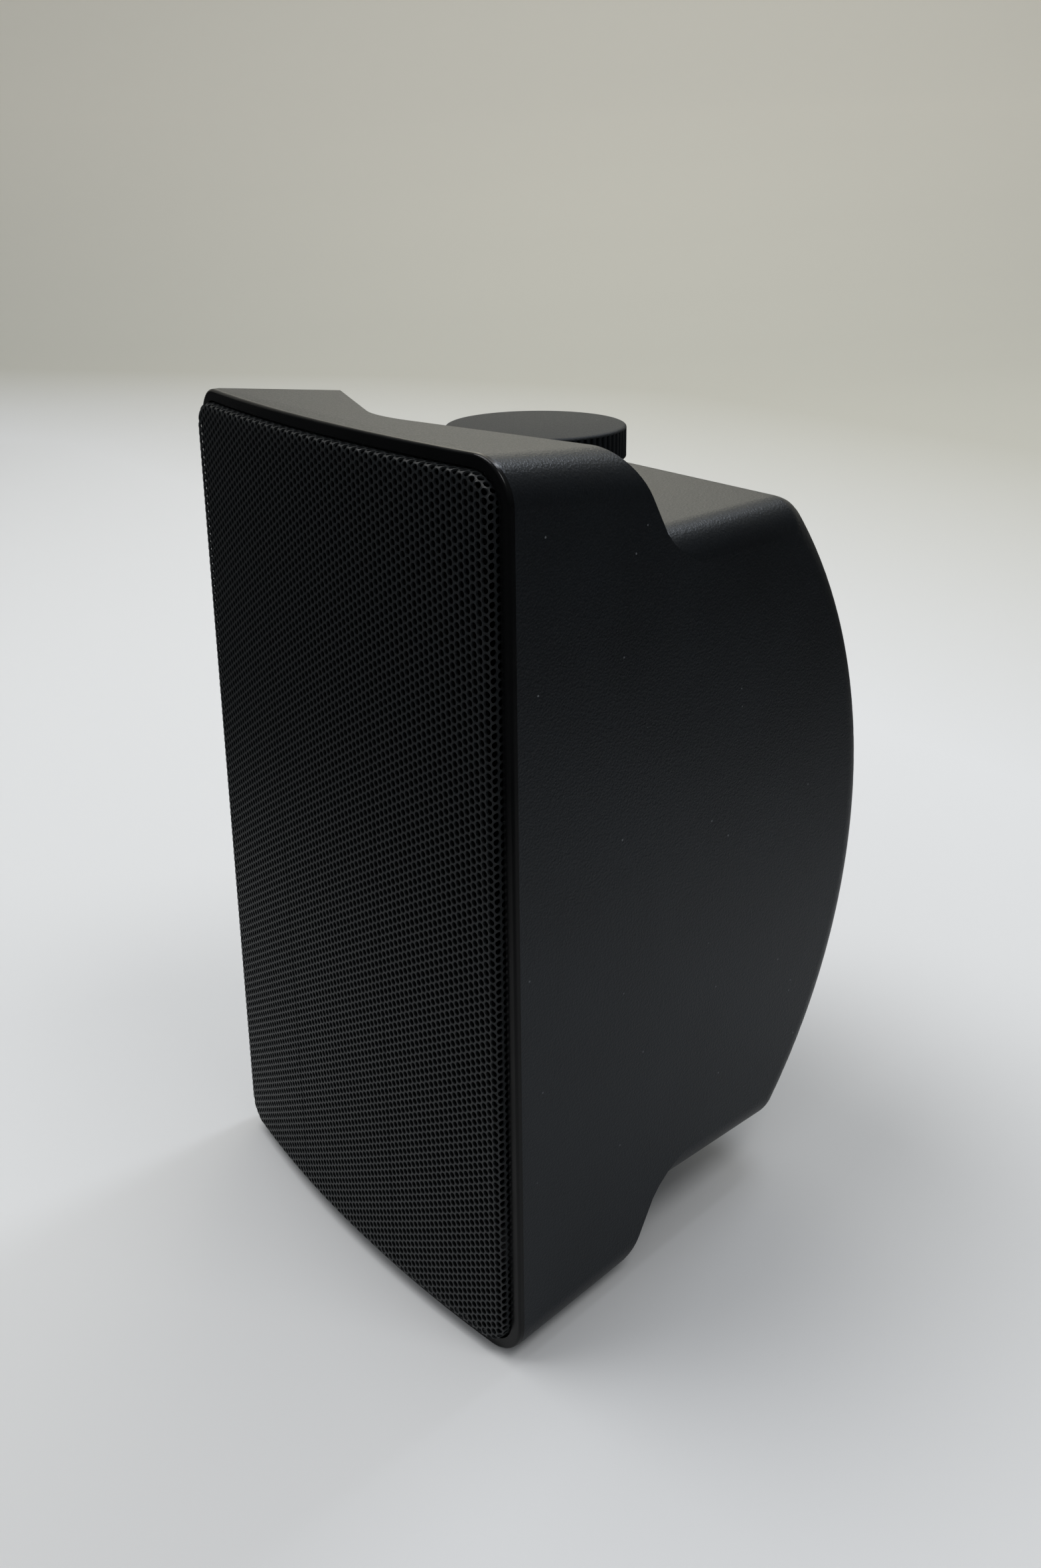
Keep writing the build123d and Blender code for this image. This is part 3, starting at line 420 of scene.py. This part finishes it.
# Crossover: brown pressed board, black nylon, and a glossy blue sleeve.
phenolic = satin("phenolic_paper_pressed", "#6b4523", "#7a5029", 0.5, 1.5, 0.02)
nylon = satin("nylon_moulded", "#1c1c1c", "#242424", 0.5, 3)
sleeve = satin("pvc_sleeve_shrunk", "#1b2e66", "#22377a", 0.35, 3)
print("finishes", len(bpy.data.materials))

# %% [markdown]
# The record names one material slot for each node. A table from slot to finish dresses every
# CAD node in one loop, the ones inside the cabinet too.

# %% Dress the CAD nodes
FINISH = {
    "cabinet_plastic": cabinet_abs,
    "frame_plastic": frame_abs,
    "grille_steel": grille_coat,
    "scrim_cloth": scrim_cloth,
    "foam": foam,
    "basket_steel": basket_coat,
    "butyl_rubber": butyl,
    "polypropylene": cone_poly,
    "aluminium_foil": foil,
    "copper_wire": copper,
    "resin_cloth": spider_cloth,
    "plated_steel": zinc,
    "ferrite": ferrite,
    "screw_steel": black_oxide,
    "silk": silk,
    "terminal_plastic": block_abs,
    "lever_red": red_abs,
    "lever_black": black_abs,
    "brass": brass,
    "circuit_board": phenolic,
    "bobbin_nylon": nylon,
    "capacitor_film": sleeve,
    "ceramic": cement,
    "knob_plastic": knob_abs,
    "washer_rubber": butyl,
}
for node, obj in frame["nodes"].items():
    obj.data.materials.clear()
    obj.data.materials.append(FINISH[slot_of[node]])
print("dressed", len(frame["nodes"]), "nodes")

# %% [markdown]
# ## Mouldings
#
# A CAD node arrives as loose triangles. A copy is welded, shaded smooth up to a crease angle
# and given weighted normals, so that flat walls stay flat and the rounds stay soft.


# %% Welded copies of the mouldings
WELD = 0.001 * MM
MOULDING_CREASE = radians(32)


def stand_in(piece, node):
    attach(piece, body_of[node])
    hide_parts(node)


def welded(node):
    mesh = frame["nodes"][node].data.copy()
    mesh.name = node + "_shell"
    if "custom_normal" in mesh.attributes:
        mesh.attributes.remove(mesh.attributes["custom_normal"])
    work = bmesh.new()
    work.from_mesh(mesh)
    bmesh.ops.remove_doubles(work, verts=work.verts, dist=WELD)
    for face in work.faces:
        face.smooth = True
    work.to_mesh(mesh)
    work.free()
    mesh.set_sharp_from_angle(angle=MOULDING_CREASE)
    piece = bpy.data.objects.new(node + "_shell", mesh)
    scene.collection.objects.link(piece)
    normals = piece.modifiers.new("even_normals", "WEIGHTED_NORMAL")
    normals.keep_sharp = True
    return piece


for node in ("cabinet", "front_frame", "terminal_block", "lever_red", "lever_black"):
    shell = welded(node)
    stand_in(shell, node)
    print(shell.name, len(shell.data.polygons), "faces")

# %% [markdown]
# ## Rubber surround and spider
#
# A half-roll of butyl rubber and a waved cloth ring hold the cone. When the cone travels, their
# inner edges go with it and their outer edges stay. Here each ring is cut into closed sectors.


# %% One sector of a ring
SECTORS = 12


def ring_sector(source, hub, middle):
    """One closed sector of a ring, cut out by two planes through the ring's axis."""
    work = source.copy()
    for side in (-1, 1):
        edge = middle + side * pi / SECTORS
        outward = Vector((-sin(edge), 0, cos(edge))) * side
        whole = work.verts[:] + work.edges[:] + work.faces[:]
        bmesh.ops.bisect_plane(work, geom=whole, plane_co=hub, plane_no=outward, clear_outer=True)
        open_edges = [line for line in work.edges if line.is_boundary]
        bmesh.ops.holes_fill(work, edges=open_edges, sides=0)
    bmesh.ops.recalc_face_normals(work, faces=work.faces)
    return work


print("sectors", SECTORS)

# %% [markdown]
# The table gives, for each ring, the radius where its free part begins and the one where it
# ends. Each ring is cut into sectors round the middle of its box, each sector keeps the ring's
# finish, and the CAD ring is hidden.

# %% Rings cut into sectors
FLEX_FROM_TO = {
    "woofer_surround": (41.7 * MM, 51.3 * MM),
    "woofer_spider": (14.0 * MM, 30.0 * MM),
}
for node, (inner, outer) in FLEX_FROM_TO.items():
    low, high = (Vector(corner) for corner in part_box(node))
    hub = (low + high) / 2
    source = bmesh.new()
    source.from_mesh(frame["nodes"][node].data)
    bmesh.ops.remove_doubles(source, verts=source.verts, dist=WELD)
    for number in range(SECTORS):
        middle = 2 * pi * number / SECTORS
        work = ring_sector(source, hub, middle)
        mesh = bpy.data.meshes.new(f"{node}_{number + 1:02d}")
        work.to_mesh(mesh)
        work.free()
        mesh.materials.append(FINISH[slot_of[node]])
        piece = bpy.data.objects.new(mesh.name, mesh)
        scene.collection.objects.link(piece)
        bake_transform(piece)
        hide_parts(node)
    source.free()
    print(node, SECTORS, "sectors, the last of", len(mesh.polygons), "faces")

# %% [markdown]
# ## Geometry Nodes, the shared part
#
# Two pieces of this speaker are one small shape repeated many times: the knob is a wedge turned
# round its axis, and the grille is a punched cell laid out in rows. Both trees have the same
# frame: a geometry that comes in, sizes with names, a finish, and a geometry that goes out.
# `baked` runs a tree and keeps the result as a plain mesh, because instances and modifiers
# don't survive an export.


# %% A tree's frame, and baking it
def layout_tree(name, inputs):
    """A new tree with named inputs: the tree, the inputs' identifiers and their sockets."""
    tree = bpy.data.node_groups.new(name, "GeometryNodeTree")
    face = tree.interface
    face.new_socket("Geometry", in_out="INPUT", socket_type="NodeSocketGeometry")
    sizes = {}
    for label, kind in {**inputs, "Finish": "Material"}.items():
        socket = face.new_socket(label, in_out="INPUT", socket_type="NodeSocket" + kind)
        sizes[label] = socket.identifier
    face.new_socket("Geometry", in_out="OUTPUT", socket_type="NodeSocketGeometry")
    return tree, sizes, add(tree, "NodeGroupInput").outputs


def baked(name, mesh, tree, sizes, values, crease):
    """Runs the tree on a small mesh and keeps the result as a plain, softly shaded piece."""
    piece = bpy.data.objects.new(name, mesh)
    scene.collection.objects.link(piece)
    layout = piece.modifiers.new("layout", "NODES")
    layout.node_group = tree
    for label, value in values.items():
        layout[sizes[label]] = value
    bpy.context.view_layer.update()
    done = piece.evaluated_get(bpy.context.evaluated_depsgraph_get())
    result = bpy.data.meshes.new_from_object(done)
    result.name = name
    piece.modifiers.remove(layout)
    piece.data = result
    for face in result.polygons:
        face.use_smooth = True
    result.set_sharp_from_angle(angle=radians(crease))
    result.calc_loop_triangles()
    print(name, len(result.loop_triangles), "triangles")
    return piece


print("layout tools ready")

# %% [markdown]
# ## Clamp knobs
#
# The large knobs press the bracket to its shelf. Their rim has fine upright ribs for wet hands,
# 76 of them, which run out just under the smooth crown. The underside is hollow, with a hub
# that reaches down to the washer. One wedge holds all of that: a profile from the middle of
# the crown, over the rim and back to the stud's bore, with a groove dipped into its rim.

# %% One wedge of a knob
KNOB_RIBS = 76
RIB_DEPTH = 0.8
HUB_LENGTH = 4.0 * MM
# Radius and height above the rim's foot in millimetres, and the share of the groove there.
KNOB_PROFILE = (
    (0.0, 10.0, 0.0),
    (24.3, 10.0, 0.0),
    (24.8, 9.93, 0.0),
    (25.2, 9.75, 0.0),
    (25.43, 9.5, 0.0),
    (25.5, 9.2, 0.0),
    (25.5, 8.7, 1.0),
    (25.5, 1.35, 1.0),
    (24.45, 0.3, 0.5),
    (24.0, 0.0, 0.2),
    (22.5, 0.0, 0.0),
    (22.5, 6.5, 0.0),
    (11.0, 6.5, 0.0),
    (11.0, -4.0, 0.0),
    (3.0, -4.0, 0.0),
    (3.0, 2.5, 0.0),
    (0.0, 2.5, 0.0),
)
# Place across one rib, as a share of the pitch, and the share of the groove there.
RIB_SHAPE = (
    (-0.5, 0.0),
    (-0.3, 0.0),
    (-0.22, 0.2),
    (-0.13, 1.0),
    (0.13, 1.0),
    (0.22, 0.2),
    (0.3, 0.0),
    (0.5, 0.0),
)
POLE_WELD = 0.0001 * MM


def knob_wedge():
    work = bmesh.new()
    columns = []
    for share, dip in RIB_SHAPE:
        angle = share * 2 * pi / KNOB_RIBS
        column = []
        for radius, height, groove in KNOB_PROFILE:
            reach = (radius - RIB_DEPTH * dip * groove) * MM
            column.append(work.verts.new((reach * cos(angle), reach * sin(angle), height * MM)))
        columns.append(column)
    for near, far in zip(columns, columns[1:]):
        for k in range(len(KNOB_PROFILE) - 1):
            work.faces.new((near[k], near[k + 1], far[k + 1], far[k]))
    bmesh.ops.remove_doubles(work, verts=work.verts, dist=POLE_WELD)
    mesh = bpy.data.meshes.new("knob_wedge")
    work.to_mesh(mesh)
    work.free()
    return mesh


print("wedge faces", len(knob_wedge().polygons))

# %% [markdown]
# The tree turns the wedge round the axis once for each rib, welds the wedges into one closed
# shell and sets it in place. The lower knob is the same one turned over, not mirrored, so its
# faces still point outwards.


# %% Geometry Nodes: turn a wedge into a knob
def knob_tree():
    inputs = {"Ribs": "Int", "Place": "Vector", "Turn over": "Float"}
    tree, sizes, given = layout_tree("ribbed_knob", inputs)
    line = {"Count": given["Ribs"], "Offset": (0, 0, 0)}
    spots = add(tree, "GeometryNodeMeshLine", line).outputs[0]
    number = add(tree, "GeometryNodeInputIndex").outputs[0]
    step = add(tree, "ShaderNodeMath", {0: 2 * pi, 1: given["Ribs"]}, operation="DIVIDE").outputs[0]
    angle = add(tree, "ShaderNodeMath", {0: number, 1: step}, operation="MULTIPLY").outputs[0]
    spin = add(tree, "ShaderNodeCombineXYZ", {2: angle}).outputs[0]
    turns = {"Points": spots, "Instance": given["Geometry"], "Rotation": spin}
    wedges = add(tree, "GeometryNodeInstanceOnPoints", turns).outputs[0]
    solid = add(tree, "GeometryNodeRealizeInstances", {0: wedges}).outputs[0]
    seams = {"Geometry": solid, "Distance": WELD}
    shell = add(tree, "GeometryNodeMergeByDistance", seams).outputs[0]
    over = add(tree, "ShaderNodeCombineXYZ", {0: given["Turn over"]}).outputs[0]
    pose = {"Geometry": shell, "Translation": given["Place"], "Rotation": over}
    placed = add(tree, "GeometryNodeTransform", pose).outputs[0]
    coat = {"Geometry": placed, "Material": given["Finish"]}
    finished = add(tree, "GeometryNodeSetMaterial", coat).outputs[0]
    add(tree, "NodeGroupOutput", {0: finished})
    return tree, sizes


tree, sizes = knob_tree()
for node, turn_over in (("upper_knob", 0.0), ("lower_knob", pi)):
    low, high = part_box(node)
    foot = high[2] - HUB_LENGTH if turn_over else low[2] + HUB_LENGTH
    values = {
        "Ribs": KNOB_RIBS,
        "Place": ((low[0] + high[0]) / 2, (low[1] + high[1]) / 2, foot),
        "Turn over": turn_over,
        "Finish": knob_abs,
    }
    stand_in(baked(node + "_ribbed", knob_wedge(), tree, sizes, values, crease=38), node)

# %% [markdown]
# ## Perforated grille
#
# The grille is one steel sheet, punched all over with staggered holes and then folded back at
# its edges. Thousands of holes are one cell repeated, so Geometry Nodes lay the cells out flat,
# weld them, and then fold the flat sheet. A cell is a hexagon with a round hole. It has a front,
# a back and the wall of the hole, so that welded cells make a solid sheet. The pitch is set so
# that the bend falls between two columns, as it does on the real sheet.

# %% One punched cell
COLUMNS_EACH_SIDE = 37
COLUMN_PITCH = (FLAT_HALF_WIDTH + BEND * pi / 4) / (COLUMNS_EACH_SIDE + 0.5)
ROW_PITCH = COLUMN_PITCH * 2 / sqrt(3)
HOLE_RADIUS = 0.93 * MM
SHEET = 0.5 * MM
HOLE_SIDES = 12


def punched_cell():
    work = bmesh.new()
    corner = ROW_PITCH / sqrt(3)
    step = 2 * pi / HOLE_SIDES
    rings = {}
    for skin, depth in (("front", 0.0), ("back", -SHEET)):
        edge = [(corner * cos(k * pi / 3), corner * sin(k * pi / 3), depth) for k in range(6)]
        circle = [(cos(k * step), sin(k * step)) for k in range(HOLE_SIDES)]
        hole = [(HOLE_RADIUS * x, HOLE_RADIUS * y, depth) for x, y in circle]
        rings[skin] = [work.verts.new(p) for p in edge], [work.verts.new(p) for p in hole]
    share = HOLE_SIDES // 6
    for skin, flip in (("front", False), ("back", True)):
        outer, inner = rings[skin]
        for k in range(6):
            near = [inner[(k * share + j) % HOLE_SIDES] for j in range(share + 1)]
            face = [outer[k], outer[(k + 1) % 6], *reversed(near)]
            work.faces.new(list(reversed(face)) if flip else face)
    front, back = rings["front"][1], rings["back"][1]
    for k in range(HOLE_SIDES):
        after = (k + 1) % HOLE_SIDES
        work.faces.new((front[k], front[after], back[after], back[k]))
    mesh = bpy.data.meshes.new("punched_cell")
    work.to_mesh(mesh)
    work.free()
    return mesh


print("pitch", round(ROW_PITCH / MM, 3), "mm, cell faces", len(punched_cell().polygons))

# %% [markdown]
# Both the outline and the fold work from one distance: how far a point of the flat sheet lies
# outside the rounded rectangle where the bend starts. All four corners are alike, so the point
# is mirrored into one quarter, measured from the middle of that corner's round, and the way
# out is mirrored back.

# %% Geometry Nodes: distance past the bend
MATH, VECTOR = "ShaderNodeMath", "ShaderNodeVectorMath"


def past_bend(tree, given, spot):
    """Distance beyond the line where the bend starts, and the way out."""
    middle = {}
    for axis, half in enumerate(("Flat half width", "Flat half height")):
        pair = {0: given[half], 1: given["Corner radius"]}
        middle[axis] = add(tree, MATH, pair, operation="SUBTRACT").outputs[0]
    corner = add(tree, "ShaderNodeCombineXYZ", middle).outputs[0]
    quarter = add(tree, VECTOR, {0: spot}, operation="ABSOLUTE").outputs[0]
    gap = add(tree, VECTOR, {0: quarter, 1: corner}, operation="SUBTRACT").outputs[0]
    outside = add(tree, VECTOR, {0: gap, 1: (0, 0, 0)}, operation="MAXIMUM").outputs[0]
    flat = add(tree, VECTOR, {0: outside, 1: (1, 1, 0)}, operation="MULTIPLY").outputs[0]
    length = add(tree, VECTOR, {0: flat}, operation="LENGTH").outputs["Value"]
    unit = add(tree, VECTOR, {0: flat}, operation="NORMALIZE").outputs[0]
    sides = add(tree, VECTOR, {0: spot}, operation="SIGN").outputs[0]
    way = add(tree, VECTOR, {0: unit, 1: sides}, operation="MULTIPLY").outputs[0]
    pair = {0: length, 1: given["Corner radius"]}
    return add(tree, MATH, pair, operation="SUBTRACT").outputs[0], way


print("distance ready")

# %% [markdown]
# The flat sheet starts as a grid of points, one for each cell. Every second column is lifted by
# half a pitch, which gives the stagger. Points past the flange or outside the band go, each one
# left gets a cell, and the cells are welded.

# %% Geometry Nodes: lay the cells out flat
CELL_WELD = 0.01 * MM


def grid_of_points(tree, given):
    grid = {}
    spans = (("X", "Flat half width", "Column pitch"), ("Y", "Flat half height", "Row pitch"))
    for axis, half, pitch in spans:
        edge = add(tree, MATH, {0: given[half], 1: given["Flange"]}, operation="ADD").outputs[0]
        cells = add(tree, MATH, {0: edge, 1: given[pitch]}, operation="DIVIDE").outputs[0]
        whole = add(tree, MATH, {0: cells}, operation="CEIL").outputs[0]
        count = add(tree, MATH, {0: whole, 1: 2.0, 2: 1.0}, operation="MULTIPLY_ADD").outputs[0]
        gaps = add(tree, MATH, {0: count, 1: 1.0}, operation="SUBTRACT").outputs[0]
        size = add(tree, MATH, {0: gaps, 1: given[pitch]}, operation="MULTIPLY").outputs[0]
        grid["Size " + axis] = size
        grid["Vertices " + axis] = count
    return add(tree, "GeometryNodeMeshGrid", grid).outputs[0]


def flat_sheet(tree, given):
    grid = grid_of_points(tree, given)
    spot = add(tree, "GeometryNodeInputPosition").outputs[0]
    spot_x = add(tree, "ShaderNodeSeparateXYZ", {0: spot}).outputs[0]
    pitches = add(tree, MATH, {0: spot_x, 1: given["Column pitch"]}, operation="DIVIDE").outputs[0]
    column = add(tree, MATH, {0: pitches}, operation="ROUND").outputs[0]
    number = add(tree, MATH, {0: column}, operation="ABSOLUTE").outputs[0]
    odd = add(tree, MATH, {0: number, 1: 2.0}, operation="MODULO").outputs[0]
    half = add(tree, MATH, {0: given["Row pitch"], 1: 0.5}, operation="MULTIPLY").outputs[0]
    lift = add(tree, MATH, {0: odd, 1: half}, operation="MULTIPLY").outputs[0]
    shift = add(tree, "ShaderNodeCombineXYZ", {1: lift}).outputs[0]
    stagger = {"Geometry": grid, "Offset": shift}
    points = add(tree, "GeometryNodeSetPosition", stagger).outputs[0]
    far = past_bend(tree, given, spot)[0]
    cut = add(tree, MATH, {0: far, 1: given["Flange"]}, operation="GREATER_THAN").outputs[0]
    before = add(tree, MATH, {0: spot_x, 1: given["Band from"]}, operation="LESS_THAN").outputs[0]
    after = add(tree, MATH, {0: spot_x, 1: given["Band to"]}, operation="GREATER_THAN").outputs[0]
    beside = add(tree, MATH, {0: before, 1: after}, operation="MAXIMUM").outputs[0]
    misses = add(tree, MATH, {0: cut, 1: beside}, operation="MAXIMUM").outputs[0]
    waste = {"Geometry": points, "Selection": misses}
    kept = add(tree, "GeometryNodeDeleteGeometry", waste, domain="POINT").outputs[0]
    punched = {"Points": kept, "Instance": given["Geometry"]}
    cells = add(tree, "GeometryNodeInstanceOnPoints", punched).outputs[0]
    solid = add(tree, "GeometryNodeRealizeInstances", {0: cells}).outputs[0]
    seams = {"Geometry": solid, "Distance": CELL_WELD}
    return add(tree, "GeometryNodeMergeByDistance", seams).outputs[0]


print("flat sheet ready")

# %% [markdown]
# Inside the rounded rectangle the fold moves nothing. Outside it, the distance past the bend
# becomes an angle round the bend's radius, and what is left over runs straight back. The depth
# in the sheet makes that radius smaller on the inner skin. Last, the face takes its bow.


# %% Geometry Nodes: fold the sheet
def folded_sheet(tree, given, flat):
    bend = given["Bend radius"]
    spot = add(tree, "GeometryNodeInputPosition").outputs[0]
    far, way = past_bend(tree, given, spot)
    depth = add(tree, "ShaderNodeSeparateXYZ", {0: spot}).outputs[2]
    past = add(tree, MATH, {0: far, 1: 0.0}, operation="MAXIMUM").outputs[0]
    turned = add(tree, MATH, {0: past, 1: bend}, operation="DIVIDE").outputs[0]
    angle = add(tree, MATH, {0: turned, 1: pi / 2}, operation="MINIMUM").outputs[0]
    arc = add(tree, MATH, {0: bend, 1: pi / 2}, operation="MULTIPLY").outputs[0]
    left_over = add(tree, MATH, {0: past, 1: arc}, operation="SUBTRACT").outputs[0]
    straight = add(tree, MATH, {0: left_over, 1: 0.0}, operation="MAXIMUM").outputs[0]
    radius = add(tree, MATH, {0: bend, 1: depth}, operation="ADD").outputs[0]
    sine = add(tree, MATH, {0: angle}, operation="SINE").outputs[0]
    reach = add(tree, MATH, {0: radius, 1: sine}, operation="MULTIPLY").outputs[0]
    outward = add(tree, MATH, {0: reach, 1: past}, operation="SUBTRACT").outputs[0]
    cosine = add(tree, MATH, {0: angle}, operation="COSINE").outputs[0]
    crest = add(tree, MATH, {0: radius, 1: cosine}, operation="MULTIPLY").outputs[0]
    round_by = add(tree, MATH, {0: crest, 1: bend}, operation="SUBTRACT").outputs[0]
    front_by = add(tree, MATH, {0: round_by, 1: straight}, operation="SUBTRACT").outputs[0]
    step = add(tree, VECTOR, {0: way, "Scale": outward}, operation="SCALE").outputs[0]
    stepped = add(tree, VECTOR, {0: spot, 1: step}, operation="ADD").outputs[0]
    moved = add(tree, "ShaderNodeSeparateXYZ", {0: stepped}).outputs
    whole = add(tree, MATH, {0: given["Bow radius"], 1: 2.0}, operation="POWER").outputs[0]
    side = add(tree, MATH, {0: moved[0], 1: 2.0}, operation="POWER").outputs[0]
    square = add(tree, MATH, {0: whole, 1: side}, operation="SUBTRACT").outputs[0]
    root = add(tree, MATH, {0: square}, operation="SQRT").outputs[0]
    bowed = add(tree, MATH, {0: given["Bow center"], 1: root}, operation="SUBTRACT").outputs[0]
    new_y = add(tree, MATH, {0: bowed, 1: front_by}, operation="SUBTRACT").outputs[0]
    new_z = add(tree, MATH, {0: moved[1], 1: given["Middle height"]}, operation="ADD").outputs[0]
    place = add(tree, "ShaderNodeCombineXYZ", {0: moved[0], 1: new_y, 2: new_z}).outputs[0]
    fold = {"Geometry": flat, "Position": place}
    return add(tree, "GeometryNodeSetPosition", fold).outputs[0]


print("fold ready")

# %% [markdown]
# The grille's tree joins these steps and gives the sheet its powder coat.

# %% Geometry Nodes: the grille's tree
SHEET_SIZES = {
    "Column pitch": COLUMN_PITCH,
    "Row pitch": ROW_PITCH,
    "Flat half width": FLAT_HALF_WIDTH,
    "Flat half height": FLAT_HALF_HEIGHT,
    "Corner radius": RIM_CORNER - GRILLE_INSET - BEND,
    "Bend radius": BEND,
    "Flange": 9.5 * MM,
    "Bow radius": BOW_RADIUS + GRILLE_PROUD,
    "Bow center": BOW_CENTER,
    "Middle height": MID_Z,
}


def sheet_tree():
    inputs = {label: "Float" for label in (*SHEET_SIZES, "Band from", "Band to")}
    tree, sizes, given = layout_tree("punched_sheet", inputs)
    folded = folded_sheet(tree, given, flat_sheet(tree, given))
    coat = {"Geometry": folded, "Material": given["Finish"]}
    coated = add(tree, "GeometryNodeSetMaterial", coat).outputs[0]
    add(tree, "NodeGroupOutput", {0: coated})
    return tree, sizes


tree, sizes = sheet_tree()
print("grille tree", len(tree.nodes), "nodes")

# %% [markdown]
# The sheet is made in three bands only to keep each mesh a fair size. The cells leave it open at
# the outer edge and at the cuts, so the front and rear skins are joined there, and each band is
# a closed solid.

# %% Three bands of the grille
BAND_EDGES = (-90.0 * MM, -26.2 * MM, 26.2 * MM, 90.0 * MM)


def close_sheet_edge(mesh):
    """Joins the front and rear skins along the open edges."""
    work = bmesh.new()
    work.from_mesh(mesh)
    open_edges = [edge for edge in work.edges if edge.is_boundary]
    made = bmesh.ops.bridge_loops(work, edges=open_edges)["faces"]
    bmesh.ops.recalc_face_normals(work, faces=work.faces)
    work.to_mesh(mesh)
    work.free()
    return len(made)


for side, low, high in zip(("left", "middle", "right"), BAND_EDGES, BAND_EDGES[1:]):
    values = {**SHEET_SIZES, "Band from": low, "Band to": high, "Finish": grille_coat}
    band = baked("grille_band_" + side, punched_cell(), tree, sizes, values, crease=50)
    print("edge faces", close_sheet_edge(band.data))
    stand_in(band, "grille")
